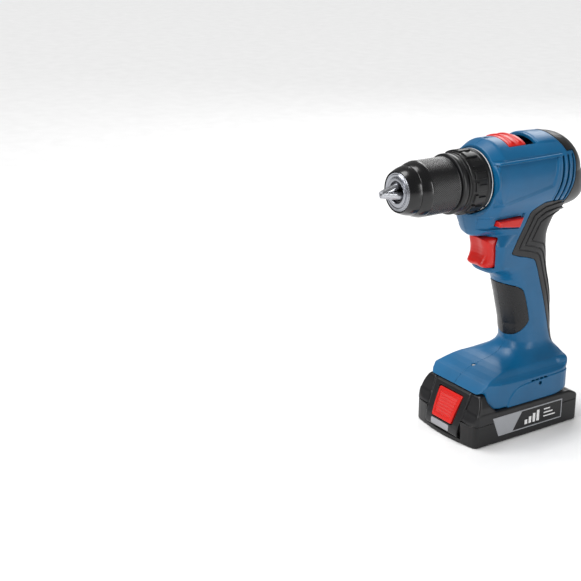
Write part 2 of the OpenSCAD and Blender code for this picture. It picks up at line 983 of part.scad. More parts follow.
module chuck_body() {
    color("#4c4f54") difference() {
        turned([
            [0, sleeve_y0 + 1.2],
            [nose_r - 2.2, sleeve_y0 + 1.2],
            [nose_r - 2.2, nut_y0 - 0.3],
            [groove_r, nut_y0 - 0.3],
            [groove_r, nut_y0 + nut_l + 0.3],
            [core_r, nut_y0 + nut_l + 0.3],
            [core_r, core_y1],
            [0, core_y1]
        ]);
        for (k = [0 : 2]) along_jaw(k) translate([0, 0, -20])
            cylinder(h = jaw_l + jaw_travel + 21, r = jaw_r + run_gap);
        ring(sleeve_y0 - 5, bore_floor_y, bit_bore_r);
        ring(bore_floor_y - 1, core_y1 + 1, 2.9);
        ring(core_y1 - thread_l, core_y1 + 1, thread_r);
    }
}

module chuck_nose_ring() {
    hole = nose_r - 4.6;
    color("#b9bdc2") turned([
        [hole, sleeve_y0 - 1.6],
        [nose_r - 3, sleeve_y0 - 1.6],
        [nose_r - 3, sleeve_y0 - 0.8],
        [nose_r - 0.8, sleeve_y0 - 0.8],
        [nose_r, sleeve_y0],
        [nose_r, sleeve_y0 + 4],
        [nose_r - 2.2, sleeve_y0 + 4],
        [nose_r - 2.2, sleeve_y0 + 1.2],
        [hole, sleeve_y0 + 1.2]
    ]);
}

module chuck_rear_ring() {
    color("#202023") turned([
        [core_r, chuck_y1 - rear_ring_l],
        [rear_ring_r - 0.5, chuck_y1 - rear_ring_l],
        [rear_ring_r, chuck_y1 - rear_ring_l + 0.5],
        [rear_ring_r, chuck_y1 - 0.5],
        [rear_ring_r - 0.5, chuck_y1],
        [spindle_r + 2.5, chuck_y1],
        [spindle_r + 2.5, core_y1],
        [core_r, core_y1]
    ]);
}

module chuck_sleeve() {
    in = core_r + slip_gap;
    relief = max(in, open_jaw_r + slip_gap);
    color("#17171a") turned([
        [nose_r + slip_gap, sleeve_y0 - 0.2],
        [nose_r + 0.9, sleeve_y0],
        [nose_r + 4, sleeve_y0 + 9],
        [nose_r + 4.2, sleeve_y0 + 9.6],
        [sleeve_r - 0.6, knurl_y0 - 3],
        [sleeve_r, knurl_y0],
        [sleeve_r, sleeve_y1 - 0.6],
        [sleeve_r - 0.6, sleeve_y1],
        [in, sleeve_y1],
        [in, sleeve_y1 - 5],
        [relief, sleeve_y1 - 5],
        [relief, nut_y0 + nut_l],
        [nut_r, nut_y0 + nut_l],
        [nut_r, nut_y0],
        [nose_r + slip_gap, nut_y0]
    ]);
}

module chuck_nut() {
    back = tan(jaw_slant);
    r_at = jaw_axis_tip + jaw_r / cos(jaw_slant) + (nut_y0 - tip_y) * back + slip_gap;
    color("#77797e") turned([
        [r_at, nut_y0],
        [nut_r, nut_y0],
        [nut_r, nut_y0 + nut_l],
        [r_at + nut_l * back, nut_y0 + nut_l]
    ]);
}

module chuck_screw() {
    color("#5c5f64") difference() {
        union() {
            ring(bore_floor_y - screw_head_l, bore_floor_y, 5);
            ring(bore_floor_y, core_y1 - 4, 2.2);
        }
        on_axis(bore_floor_y - screw_head_l - 1) cylinder(h = 3.5, r = 1.8, $fn = 6);
    }
}

// Each jaw grips with a 120 degree wedge that is hollowed for the smallest bit
module jaw(k) {
    wedge_gap = 0.12;
    color("#9ea2a7") difference() {
        intersection() {
            along_jaw(k) translate([0, 0, -6]) cylinder(h = jaw_l + 6, r = jaw_r);
            on_axis(tip_y) rotate(120 * k + 30) linear_extrude(height = 80) polygon([
                [2 * wedge_gap, 0],
                [40, 40 * tan(60) - wedge_gap],
                [40, -40 * tan(60) + wedge_gap]
            ]);
        }
        ring(tip_y - 1, tip_y + 60, grip_min / 2);
    }
}
module jaw_1() {
    jaw(0);
}
module jaw_2() {
    jaw(1);
}
module jaw_3() {
    jaw(2);
}

// ---- Controls ----

module speed_selector() {
    top = axis_z + barrel_r + ridge_h;
    color("#d3261b") union() {
        translate([0, selector_y1, 0]) rotate([90, 0, 0])
            linear_extrude(height = selector_y1 - selector_y0) polygon([
                [-selector_w, pocket_z + 0.2],
                [-selector_w + 2, top - 0.4],
                [selector_w - 2, top - 0.4],
                [selector_w, pocket_z + 0.2]
            ]);
        block([-stem_w, selector_y0 + 4, axis_z + case_r + 0.8], [stem_w, selector_y0 + 10, pocket_z + 1]);
        for (y = [selector_y0 + 5.5, selector_y0 + 13]) {
            side_slab([
                [y - 2.2, top - 0.8],
                [y - 1, top + 0.4],
                [y + 1, top + 0.4],
                [y + 2.2, top - 0.8]
            ], -selector_w + 2.5, selector_w - 2.5);
        }
    }
}

// Side outline of the direction lever, grown by c
function lever_outline(c) = [
    [-31 - c, axis_z - 32.6 + c],
    [-8 + c, axis_z - 30.9 + c],
    [-9.5 + c, axis_z - 35.4 - c],
    [-29.5 - c, axis_z - 36.2 - c]
];
module direction_lever() {
    color("#d3261b") side_slab(lever_outline(0), -neck_half_w + 1.5, neck_half_w + 2.4);
}

module trigger() {
    z0 = trigger_foot + 1 + slip_gap;
    z1 = trigger_top - 0.5;
    h = z1 - z0;
    color("#d3261b") union() {
        side_slab([
            [-38.8, z1],
            [-37.4, z1 - 0.25 * h],
            [-36.9, z1 - 0.45 * h],
            [-38, z1 - 0.65 * h],
            [-39.8, z1 - 0.82 * h],
            [-38.6, z0 + 2],
            [-34, z0],
            [-16, z0],
            [-16, z1]
        ], -trigger_w / 2, trigger_w / 2);
        block([-4, -17, (z0 + z1) / 2 - 4], [4, -9.5, (z0 + z1) / 2 + 4]);
    }
}

module trigger_switch() {
    z0 = trigger_foot + 2;
    z1 = trigger_top - 1;
    mid = (z0 + z1) / 2;
    depth = trigger_travel + 3;
    color("#2e3034") difference() {
        block([-10.5, -16 + trigger_travel + 0.7, z0], [10.5, 12, z1]);
        block([-4.4, -17, mid - 4.4], [4.4, -9.5 + depth, mid + 4.4]);
    }
}

module work_light() {
    color("#d8d8d0") translate([0, light_y, base_top - 2.6]) union() {
        cylinder(h = 5.4, r = light_r, $fn = 32);
        cylinder(h = 0.8, r = 2.4, $fn = 32);
    }
}

module control_board() {
    z = bay_top + wall - 0.6;
    color("#1f5c3a") union() {
        block([-22, -22, z], [22, 30, z + 1.6]);
        block([-14, -10, z + 1.5], [14, 18, z + 5]);
    }
}

module terminal_block() {
    color("#3a3a3e") union() {
        block([-20, block_y1 + 1, skirt_z + 2], [20, base_rear - 4.2, bay_top]);
        for (x = [-15, -5, 5, 15]) {
            block([x - 0.4, block_y1 - 9, skirt_z + 4], [x + 0.4, block_y1 + 2, bay_top - 2.4]);
        }
    }
}

// ---- Battery ----

module batt_plan(i, z0, z1) {
    translate([0, 0, z0]) linear_extrude(height = z1 - z0)
        round_rect(batt_w - 2 * i, batt_l - 2 * i, corner_r - i);
}

module battery_tray() {
    color("#1d1d20") difference() {
        union() {
            batt_plan(0, 0, tray_h);
            block([-nose_panel_w, panel_y0 + 1.5, 0], [nose_panel_w, batt_y0 + 8, panel_z0 - slip_gap]);
        }
        batt_plan(batt_wall, batt_wall, tray_h + 1);
        block([-nose_panel_w - slip_gap, batt_y0 - 20, panel_z0 - slip_gap],
            [nose_panel_w + slip_gap, batt_y0 + batt_wall + 1, tray_h + 1]);
        for (sx = [-1, 1]) label_slab(sx, 0);
        for (p = batt_screw_at) {
            translate([p[0], p[1], -1]) cylinder(h = 20, r = 1.3, $fn = 32);
            translate([p[0], p[1], -1]) cylinder(h = 2.2, r = 2.8, $fn = 32);
        }
    }
}

module label_slab(sx, lift) {
    x = sx * (batt_w / 2);
    lo = sx > 0 ? x - label_t : x;
    side_slab([
        [-39.5 + lift, tray_h + 4.3 - lift],
        [38 - lift, tray_h + 4.3 - lift],
        [38 - lift, 5.7 + lift],
        [-32.5 + lift, 5.7 + lift]
    ], lo, lo + label_t);
}

// Outer volume of the cover: shoulders, cheeks, the sloped middle panel and the rail block
module cover_solid(i) {
    intersection() {
        batt_plan(i, tray_h - 1, 60);
        side_slab(inset([
            [batt_y0 - 2, shoulder_z],
            [batt_y1 - 11, shoulder_z],
            [batt_y1 + 1, shoulder_z - 7],
            [batt_y1 + 1, tray_h - 10],
            [batt_y0 - 2, tray_h - 10]
        ], i), -60, 60);
    }
    intersection() {
        batt_plan(i, tray_h - 1, 60);
        side_slab(inset(cheek_side, i), -60, 60);
        translate([0, 100, 0]) rotate([90, 0, 0]) linear_extrude(height = 200) polygon(inset([
            [-batt_w / 2 - 1, shoulder_z - 1],
            [-batt_w / 2 + 4, shoulder_z + 9],
            [-block_w + 1, block_top],
            [block_w - 1, block_top],
            [batt_w / 2 - 4, shoulder_z + 9],
            [batt_w / 2 + 1, shoulder_z - 1],
            [batt_w / 2 + 1, tray_h - 10],
            [-batt_w / 2 - 1, tray_h - 10]
        ], i));
    }
    side_slab(inset(panel_side, i), -nose_panel_w + i, nose_panel_w - i);
    block([-block_w + i, block_y0, tray_h], [block_w - i, block_y1 - i, block_top - i]);
}

module battery_cover() {
    color("#2c2c30") union() {
        cover_shell();
        latch_place() spring_bracket();
    }
}

// Bracket behind the latch button that its spring stands on
module spring_bracket() {
    arm = 1.8;
    half = latch_w + 1 + arm;
    seat_z = -spring_l - 3.9;
    translate([-half, -5, seat_z - arm]) cube([2 * half, 10, arm]);
    for (x = [-half, half - arm]) translate([x, -5, seat_z - arm]) cube([arm, 10, arm - 1 - seat_z]);
}

module cover_shell() {
    difference() {
        intersection() {
            cover_solid(0);
            union() {
                block([-batt_w, -batt_l, tray_h], [batt_w, batt_l, block_top + 20]);
                block([-nose_panel_w, -batt_l, 0],
                    [nose_panel_w, batt_y0 + batt_wall + 1, block_top + 20]);
            }
        }
        cover_solid(batt_wall);
        block([-nose_panel_w + batt_wall, batt_y0 + batt_wall, 0],
            [nose_panel_w - batt_wall, batt_y0 + 20, tray_h + 3]);
        for (sx = [-1, 1]) {
            x0 = sx > 0 ? block_w - groove_d : -block_w - 1;
            block([x0, rail_y0 - slip_gap, groove_z], [x0 + groove_d + 1, 60, groove_z + groove_h]);
            x1 = sx > 0 ? block_w : -block_w - 11;
            block([x1, base_front + 12, skirt_z - slip_gap], [x1 + 11, 60, 60]);
            label_slab(sx, 0);
        }
        for (x = [-15, -5, 5, 15])
            block([x - 1, block_y1 - 10, shoulder_z + 2], [x + 1, block_y1 + 1, block_top + 1]);
        latch_place() translate([0, 0, -6]) linear_extrude(height = 20) latch_shape(slip_gap);
    }
}

// The latch button lies on the middle panel's slope, its Z axis out of the slope
module latch_place() {
    mid = (panel_side[2] + panel_side[3]) / 2;
    translate([0, mid[0], mid[1]]) rotate([90 - latch_tilt, 0, 0]) children();
}
module latch_shape(c) {
    half = latch_h / 2;
    polygon([
        [-latch_w - c, half + c],
        [latch_w + c, half + c],
        [latch_w - 2.4 + c, -half - c],
        [-latch_w + 2.4 - c, -half - c]
    ]);
}
module latch_button() {
    color("#d3261b") latch_place() difference() {
        translate([0, 0, -2.7]) linear_extrude(height = 3.9) latch_shape(0);
        for (k = [-3 : 3]) translate([-latch_w + 5, 2.8 * k - 0.5, 0.6]) cube([2 * latch_w - 10, 1, 2]);
    }
}
module latch_spring() {
    color("#b5b8bc") latch_place() translate([0, 0, -spring_l - 3.3]) coil(3, 0.5, spring_l, 4);
}

module battery_cells() {
    color("#2f7d6b") for (k = [-2 : 2])
        cross_pin(k * cell_pitch, cell_z, -cell_l / 2, cell_l / 2, cell_r);
}

module cell_frame() {
    frame_l = 5 * cell_pitch + 2;
    color("#d9d4c4") difference() {
        for (sx = [-1, 1]) translate([sx * (cell_l / 2 - 8) - 3, -frame_l / 2, batt_wall + 0.1])
            cube([6, frame_l, tray_h - batt_wall]);
        for (k = [-2 : 2]) cross_pin(k * cell_pitch, cell_z, -50, 50, cell_r + 0.05);
        for (p = batt_screw_at) translate([p[0], p[1], 0]) cylinder(h = 30, r = 3, $fn = 32);
    }
}

module battery_board() {
    z = tray_h + 3.3;
    color("#1f5c3a") union() {
        block([-20, -24, z], [20, 26, z + 1.4]);
        for (x = [-15, -5, 5, 15]) {
            block([x - 2.6, block_y1 - 9, z + 1.4], [x - 1.2, block_y1 - 3.5, block_top - batt_wall - 0.4]);
            block([x + 1.2, block_y1 - 9, z + 1.4], [x + 2.6, block_y1 - 3.5, block_top - batt_wall - 0.4]);
        }
    }
}

module battery_labels() {
    color("#b9bcc0") for (sx = [-1, 1]) label_slab(sx, 0.15);
}

module battery_screws() {
    color("#6b6e73") for (p = batt_screw_at) translate([p[0], p[1], 0.3]) {
        cylinder(h = tray_h + 1, r = 1.2, $fn = 32);
        cylinder(h = 0.85, r = 2.6, $fn = 32);
    }
}

// ---- Nodes ----

housing_left();
housing_right();
rear_cap();
rear_grip_left();
rear_grip_right();
front_grip_left();
front_grip_right();
housing_screws();
cap_screws();
gearbox_case();
ring_gear_1();
ring_gear_2();
motor_plate();
gearbox_screws();
spindle_bearing();
output_spindle();
carrier_2();
carrier_1();
planet_1a();
planet_1b();
planet_1c();
planet_2a();
planet_2b();
planet_2c();
motor_stator();
stator_coils();
motor_rotor();
rotor_shaft();
motor_fan();
front_bearing();
rear_bearing();
sensor_board();
torque_collar();
clutch_nut();
clutch_spring();
chuck_body();
chuck_nose_ring();
chuck_rear_ring();
chuck_sleeve();
chuck_nut();
chuck_screw();
jaw_1();
jaw_2();
jaw_3();
speed_selector();
trigger();
trigger_switch();
direction_lever();
work_light();
control_board();
terminal_block();
battery_tray();
battery_cover();
latch_button();
latch_spring();
battery_cells();
cell_frame();
battery_board();
battery_labels();
battery_screws();
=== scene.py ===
"""Looks of the cordless drill driver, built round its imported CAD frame.

The moulded shells are solid shapes described by distance fields (negative inside), meshed on
a regular grid and settled on the exact surface. Turned pieces are dense lathes with their
knurl, lugs and steps in the mesh. Shape functions work in millimetres in the frame's own
axes: +Z up, the chuck along -Y, +X the drill's left side. Objects are in metres.
"""

import json
import math

import bpy
import numpy as np
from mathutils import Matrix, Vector


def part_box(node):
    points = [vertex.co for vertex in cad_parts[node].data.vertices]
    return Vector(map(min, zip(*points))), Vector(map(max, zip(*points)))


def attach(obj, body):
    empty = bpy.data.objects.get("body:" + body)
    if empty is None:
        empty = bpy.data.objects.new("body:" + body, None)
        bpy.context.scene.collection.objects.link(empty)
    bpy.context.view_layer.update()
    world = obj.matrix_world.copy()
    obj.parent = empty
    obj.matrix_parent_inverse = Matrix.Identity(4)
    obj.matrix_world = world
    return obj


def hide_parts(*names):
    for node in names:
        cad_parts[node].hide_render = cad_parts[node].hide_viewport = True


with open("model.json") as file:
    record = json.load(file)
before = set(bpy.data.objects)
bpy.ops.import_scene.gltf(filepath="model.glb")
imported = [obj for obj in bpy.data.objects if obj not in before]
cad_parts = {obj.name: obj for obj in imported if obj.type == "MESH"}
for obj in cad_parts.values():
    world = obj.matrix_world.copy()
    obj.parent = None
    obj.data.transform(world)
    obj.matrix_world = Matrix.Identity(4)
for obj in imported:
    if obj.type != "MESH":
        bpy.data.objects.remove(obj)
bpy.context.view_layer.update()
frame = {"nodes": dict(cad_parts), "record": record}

MM = 0.001


def box_mm(node):
    """Lowest and highest corner of a CAD node, in millimetres."""
    low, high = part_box(node)
    return np.array(low) / MM, np.array(high) / MM


def station(node, end):
    """Front (0) or rear (1) end of a CAD node along the spindle, in millimetres."""
    return float(box_mm(node)[end][1])


def radius(node):
    """Outer radius of a turned CAD node, in millimetres."""
    low, high = box_mm(node)
    return float(high[0] - low[0]) / 2


# ---- Places and sizes read from the frame ----

nose_low, nose_high = box_mm("chuck_nose_ring")
AXIS_Z = float(nose_low[2] + nose_high[2]) / 2
NOSE_Y = station("chuck_sleeve", 0)
SLEEVE_Y1 = station("chuck_sleeve", 1)
SLEEVE_R = radius("chuck_sleeve")
NOSE_R = radius("chuck_nose_ring")
BAND_Y0 = station("chuck_rear_ring", 0)
BAND_Y1 = station("chuck_rear_ring", 1)
BAND_R = radius("chuck_rear_ring")
COLLAR_Y0 = station("torque_collar", 0)
COLLAR_Y1 = station("torque_collar", 1)
COLLAR_R = radius("torque_collar")
BARREL_R = radius("rear_cap")
TRAY_LOW, TRAY_HIGH = box_mm("battery_tray")
TRAY_H = float(TRAY_HIGH[2])
BATT_W = float(TRAY_HIGH[0] - TRAY_LOW[0]) / 2
BLOCK_TOP = float(box_mm("battery_cover")[1][2])
SKIRT_Z = float(box_mm("housing_left")[0][2])
SHOULDER_Z = SKIRT_Z - 0.3
WALL = 2.6


# ---- Distance-field tools ----

def smax(a, b, k):
    """The larger of two fields, with the edge where they meet rounded over about k."""
    h = np.maximum(k - np.abs(a - b), 0) / k
    return np.maximum(a, b) + h * h * k * 0.25


def smin(a, b, k):
    """The smaller of two fields, with the corner where they meet filled over about k."""
    return -smax(-a, -b, k)


def ease(t):
    """Smooth step from 0 to 1."""
    t = np.clip(t, 0, 1)
    return t * t * (3 - 2 * t)


def slab(v, low, high):
    """Distance outside the range low to high."""
    return np.maximum(low - v, v - high)


def brick(x, y, z, low, high, k=0.6):
    """A box with rounded edges."""
    flat = smax(slab(x, low[0], high[0]), slab(y, low[1], high[1]), k)
    return smax(flat, slab(z, low[2], high[2]), k)


def chaikin(points, rounds):
    """A closed outline with its corners cut smooth."""
    for _ in range(rounds):
        after = np.roll(points, -1, axis=0)
        cut = np.stack([points * 0.75 + after * 0.25, points * 0.25 + after * 0.75], axis=1)
        points = cut.reshape(-1, 2)
    return points


class Outline:
    """Signed distance to a closed 2D outline, looked up on a fine lattice."""

    cell = 0.4
    margin = 14.0

    def __init__(self, points, rounds=2):
        points = chaikin(np.array(points, float), rounds)
        self.low = points.min(0) - self.margin
        size = np.ceil((points.max(0) + self.margin - self.low) / self.cell).astype(int) + 1
        u = self.low[0] + self.cell * np.arange(size[0])[:, None]
        v = self.low[1] + self.cell * np.arange(size[1])[None, :]
        nearest = np.full((size[0], size[1]), 1e9)
        inside = np.zeros((size[0], size[1]), bool)
        for a, b in zip(points, np.roll(points, -1, axis=0)):
            e = b - a
            t = np.clip(((u - a[0]) * e[0] + (v - a[1]) * e[1]) / max(e @ e, 1e-9), 0, 1)
            nearest = np.minimum(nearest, np.hypot(u - a[0] - t * e[0], v - a[1] - t * e[1]))
            crosses = (a[1] > v) != (b[1] > v)
            at = a[0] + (v - a[1]) * e[0] / (e[1] if abs(e[1]) > 1e-9 else 1e-9)
            inside ^= crosses & (u < at)
        self.table = np.where(inside, -nearest, nearest)

    def __call__(self, u, v):
        rows, cols = self.table.shape
        p = np.clip((u - self.low[0]) / self.cell, 0, rows - 1.001)
        q = np.clip((v - self.low[1]) / self.cell, 0, cols - 1.001)
        p, q = np.broadcast_arrays(p, q)
        i, j = p.astype(np.int32), q.astype(np.int32)
        s, t = p - i, q - j
        near = self.table[i, j] * (1 - t) + self.table[i, j + 1] * t
        far = self.table[i + 1, j] * (1 - t) + self.table[i + 1, j + 1] * t
        return near * (1 - s) + far * s


EDGES = [(np.array(a), axis) for axis in range(3) for a in
         [(0, 0, 0), tuple(np.roll([0, 1, 0], axis)), tuple(np.roll([0, 0, 1], axis)),
          tuple(np.roll([0, 1, 1], axis))]]


def surface_net(field, low, high, step):
    """Vertices and quads over the zero level of a field inside a box."""
    axes = [np.arange(a, b + step, step) for a, b in zip(low, high)]
    x, y, z = axes[0][:, None, None], axes[1][None, :, None], axes[2][None, None, :]
    shape = tuple(len(a) for a in axes)
    f = np.broadcast_to(field(x, y, z), shape).astype(np.float32)
    inside = f < 0
    count = np.zeros([n - 1 for n in shape], np.uint8)
    for dx in (0, 1):
        for dy in (0, 1):
            for dz in (0, 1):
                count += inside[dx:shape[0] - 1 + dx, dy:shape[1] - 1 + dy, dz:shape[2] - 1 + dz]
    active = (count > 0) & (count < 8)
    cells = np.argwhere(active)
    number = np.full(active.shape, -1, np.int32)
    number[active] = np.arange(len(cells), dtype=np.int32)
    total = np.zeros((len(cells), 3))
    hits = np.zeros(len(cells))
    for corner, axis in EDGES:
        a = cells + corner
        b = a.copy()
        b[:, axis] += 1
        fa, fb = f[tuple(a.T)], f[tuple(b.T)]
        cut = (fa < 0) != (fb < 0)
        t = np.where(cut, fa / np.where(cut, fa - fb, 1), 0)
        at = np.repeat(corner[None, :].astype(float), len(cells), axis=0)
        at[:, axis] += t
        total += at * cut[:, None]
        hits += cut
    verts = np.array([a[0] for a in axes]) + step * (cells + total / hits[:, None])
    quads = []
    for axis in range(3):
        u, v = (axis + 1) % 3, (axis + 2) % 3
        first = [slice(None)] * 3
        second = [slice(None)] * 3
        first[axis], second[axis] = slice(0, -1), slice(1, None)
        here = inside[tuple(first)]
        edges = np.argwhere(here != inside[tuple(second)])
        fits = (edges[:, u] > 0) & (edges[:, v] > 0)
        fits &= (edges[:, u] < shape[u] - 1) & (edges[:, v] < shape[v] - 1)
        edges = edges[fits]
        ring = []
        for du, dv in ((0, 0), (-1, 0), (-1, -1), (0, -1)):
            c = edges.copy()
            c[:, u] += du
            c[:, v] += dv
            ring.append(number[tuple(c.T)])
        ring = np.stack(ring, axis=1)
        outward = here[tuple(edges.T)]
        ring[~outward] = ring[~outward][:, ::-1]
        quads.append(ring)
    return verts, np.concatenate(quads)


def slope(field, p, h):
    """Gradient of a field at points."""
    x, y, z = p.T
    return np.stack([
        field(x + h, y, z) - field(x - h, y, z),
        field(x, y + h, z) - field(x, y - h, z),
        field(x, y, z + h) - field(x, y, z - h),
    ], axis=1) / (2 * h)


def mesh_object(name, verts, quads, normals=None):
    """A smooth-shaded mesh object from points in millimetres and equal-sided faces."""
    mesh = bpy.data.meshes.new(name)
    sides = quads.shape[1]
    mesh.vertices.add(len(verts))
    mesh.vertices.foreach_set("co", (np.asarray(verts) * MM).astype(np.float32).ravel())
    mesh.loops.add(quads.size)
    mesh.loops.foreach_set("vertex_index", quads.astype(np.int32).ravel())
    mesh.polygons.add(len(quads))
    mesh.polygons.foreach_set("loop_start", np.arange(0, quads.size, sides, dtype=np.int32))
    mesh.polygons.foreach_set("use_smooth", np.ones(len(quads), bool))
    mesh.update(calc_edges=True)
    mesh.validate()
    if normals is not None and len(normals) == len(mesh.vertices):
        mesh.normals_split_custom_set_from_vertices(normals.tolist())
    piece = bpy.data.objects.new(name, mesh)
    bpy.context.scene.collection.objects.link(piece)
    return piece


def moulded(name, field, low, high, step):
    """A solid piece from its distance field, meshed and settled on the exact surface."""
    verts, quads = surface_net(field, low, high, step)
    for _ in range(3):
        g = slope(field, verts, 0.06)
        length2 = np.maximum((g * g).sum(1), 0.2)
        shift = np.clip(field(*verts.T) / length2, -0.45 * step, 0.45 * step)
        verts = verts - g * shift[:, None]
    g = slope(field, verts, 0.12)
    normals = g / np.maximum(np.linalg.norm(g, axis=1, keepdims=True), 1e-9)
    return mesh_object(name, verts, quads, normals)


def lathe(name, profile, around=360, relief=None):
    """A closed turned piece from (radius, station) points; relief(angle, station, radius) is added."""
    profile = np.array(profile, float)
    angle = np.linspace(0, 2 * math.pi, around, endpoint=False)[:, None]
    r = np.repeat(profile[None, :, 0], around, axis=0)
    y = np.repeat(profile[None, :, 1], around, axis=0)
    if relief is not None:
        r = r + relief(angle, y, r)
    verts = np.stack([r * np.cos(angle), y, AXIS_Z + r * np.sin(angle)], axis=2).reshape(-1, 3)
    n = len(profile)
    i = np.arange(around)[:, None] * n
    j = np.arange(n)[None, :]
    nxt = (i + n) % (around * n)
    k = (j + 1) % n
    quads = np.stack([i + j, i + k, nxt + k, nxt + j], axis=2).reshape(-1, 4)
    return mesh_object(name, verts, quads)


def fine_profile(points, spacing):
    """Profile points with extra ones along each stretch, no further apart than spacing."""
    out = []
    closed = list(points) + [points[0]]
    for a, b in zip(closed[:-1], closed[1:]):
        a, b = np.array(a, float), np.array(b, float)
        parts = max(1, int(np.ceil(np.linalg.norm(b - a) / spacing)))
        out += [a + (b - a) * t / parts for t in range(parts)]
    return out


def ease_edges(piece, angle=35):
    """Keeps flat faces flat and round ones smooth where they meet at more than an angle."""
    for e in piece.data.polygons:
        e.use_smooth = True
    mesh = piece.data
    mesh.set_sharp_from_angle(angle=math.radians(angle))
    return piece


# ---- Materials ----

def new_material(name):
    """An empty node material and its shader."""
    m = bpy.data.materials.new(name)
    m.use_nodes = True
    nodes, links = m.node_tree.nodes, m.node_tree.links
    nodes.clear()
    out = nodes.new("ShaderNodeOutputMaterial")
    shader = nodes.new("ShaderNodeBsdfPrincipled")
    links.new(shader.outputs[0], out.inputs[0])
    place = nodes.new("ShaderNodeTexCoord")
    return m, nodes, links, shader, place.outputs["Object"]


def noise(nodes, links, place, scale, detail=2.0, rough=0.5, stretch=None):
    """A noise texture over the object's own metres."""
    if stretch:
        mapping = nodes.new("ShaderNodeMapping")
        mapping.inputs["Scale"].default_value = stretch
        links.new(place, mapping.inputs["Vector"])
        place = mapping.outputs[0]
    tex = nodes.new("ShaderNodeTexNoise")
    tex.inputs["Scale"].default_value = scale
    tex.inputs["Detail"].default_value = detail
    tex.inputs["Roughness"].default_value = rough
    links.new(place, tex.inputs["Vector"])
    return tex.outputs["Fac"]


def ramp(nodes, links, value, stops):
    """A colour ramp from (position, colour) stops."""
    node = nodes.new("ShaderNodeValToRGB")
    while len(node.color_ramp.elements) < len(stops):
        node.color_ramp.elements.new(0.5)
    for element, (at, colour) in zip(node.color_ramp.elements, stops):
        element.position = at
        element.color = (*colour, 1)
    links.new(value, node.inputs[0])
    return node.outputs[0]


def span(nodes, links, value, low, high):
    """Maps 0..1 to low..high."""
    node = nodes.new("ShaderNodeMapRange")
    node.inputs["To Min"].default_value = low
    node.inputs["To Max"].default_value = high
    links.new(value, node.inputs["Value"])
    return node.outputs[0]


def bump(nodes, links, shader, heights):
    """Stacks bumps from (height, depth in metres, strength)."""
    last = None
    for height, depth, strength in heights:
        node = nodes.new("ShaderNodeBump")
        node.inputs["Distance"].default_value = depth
        node.inputs["Strength"].default_value = strength
        links.new(height, node.inputs["Height"])
        if last:
            links.new(last, node.inputs["Normal"])
        last = node.outputs[0]
    links.new(last, shader.inputs["Normal"])


def edge_wear(nodes, links, base, worn, amount):
    """Lightens convex edges a little."""
    geo = nodes.new("ShaderNodeNewGeometry")
    edge = ramp(nodes, links, geo.outputs["Pointiness"], [(0.52, (0, 0, 0)), (0.62, (amount,) * 3)])
    mix = nodes.new("ShaderNodeMix")
    mix.data_type = "RGBA"
    links.new(edge, mix.inputs["Factor"])
    links.new(base, mix.inputs["A"])
    mix.inputs["B"].default_value = (*worn, 1)
    return mix.outputs["Result"]


def plastic(name, colour, rough, grain=1500, grain_depth=0.00003, worn=None, coat=0.0):
    """Moulded plastic: fine spark-eroded grain, faint colour mottling, uneven gloss and paler edges."""
    m, nodes, links, shader, place = new_material(name)
    mottle = noise(nodes, links, place, 45, 3)
    dark = tuple(c * 0.93 for c in colour)
    light = tuple(min(1, c * 1.07) for c in colour)
    base = ramp(nodes, links, mottle, [(0.3, dark), (0.7, light)])
    if worn:
        base = edge_wear(nodes, links, base, worn, 0.35)
    links.new(base, shader.inputs["Base Color"])
    smear = noise(nodes, links, place, 120, 4)
    links.new(span(nodes, links, smear, rough - 0.05, rough + 0.06), shader.inputs["Roughness"])
    grains = noise(nodes, links, place, grain, 3, 0.6)
    bump(nodes, links, shader, [(grains, grain_depth, 0.35), (mottle, 0.00008, 0.08)])
    shader.inputs["IOR"].default_value = 1.5
    shader.inputs["Specular IOR Level"].default_value = 0.4
    if coat:
        shader.inputs["Coat Weight"].default_value = coat
        shader.inputs["Coat Roughness"].default_value = 0.12
    return m


def rubber(name, colour, rough):
    """Soft overmoulded rubber: fine pimples, low gloss and a faint dusty sheen."""
    m, nodes, links, shader, place = new_material(name)
    dust = noise(nodes, links, place, 90, 5)
    base = ramp(nodes, links, dust, [(0.35, colour), (0.8, tuple(c * 1.6 + 0.003 for c in colour))])
    links.new(base, shader.inputs["Base Color"])
    links.new(span(nodes, links, dust, rough - 0.06, rough + 0.08), shader.inputs["Roughness"])
    cells = nodes.new("ShaderNodeTexVoronoi")
    cells.inputs["Scale"].default_value = 1400
    links.new(place, cells.inputs["Vector"])
    bump(nodes, links, shader, [(cells.outputs["Distance"], 0.00005, 0.3)])
    shader.inputs["Specular IOR Level"].default_value = 0.4
    shader.inputs["Sheen Weight"].default_value = 0.03
    shader.inputs["Sheen Roughness"].default_value = 0.5
    return m


def metal(name, colour, rough, stretch=(1, 1, 1), scale=900, streak=0.00002, worn=None):
    """Machined metal: fine tool marks, uneven polish and a few faint stains."""
    m, nodes, links, shader, place = new_material(name)
    stain = noise(nodes, links, place, 70, 4)
    base = ramp(nodes, links, stain, [(0.3, tuple(c * 0.88 for c in colour)), (0.7, colour)])
    if worn:
        base = edge_wear(nodes, links, base, worn, 0.6)
    links.new(base, shader.inputs["Base Color"])
    marks = noise(nodes, links, place, scale, 2, 0.5, stretch)
    links.new(span(nodes, links, marks, rough - 0.05, rough + 0.09), shader.inputs["Roughness"])
    bump(nodes, links, shader, [(marks, streak, 0.25)])
    shader.inputs["Metallic"].default_value = 1.0
    return m


def clear_lens(name):
    """Clear moulded lens with a faint ripple."""
    m, nodes, links, shader, place = new_material(name)
    ripple = noise(nodes, links, place, 300, 2)
    links.new(ramp(nodes, links, ripple, [(0.3, (0.82, 0.84, 0.86)), (0.7, (0.9, 0.91, 0.92))]),
              shader.inputs["Base Color"])
    bump(nodes, links, shader, [(ripple, 0.00002, 0.2)])
    shader.inputs["Roughness"].default_value = 0.12
    shader.inputs["Transmission Weight"].default_value = 0.6
    return m


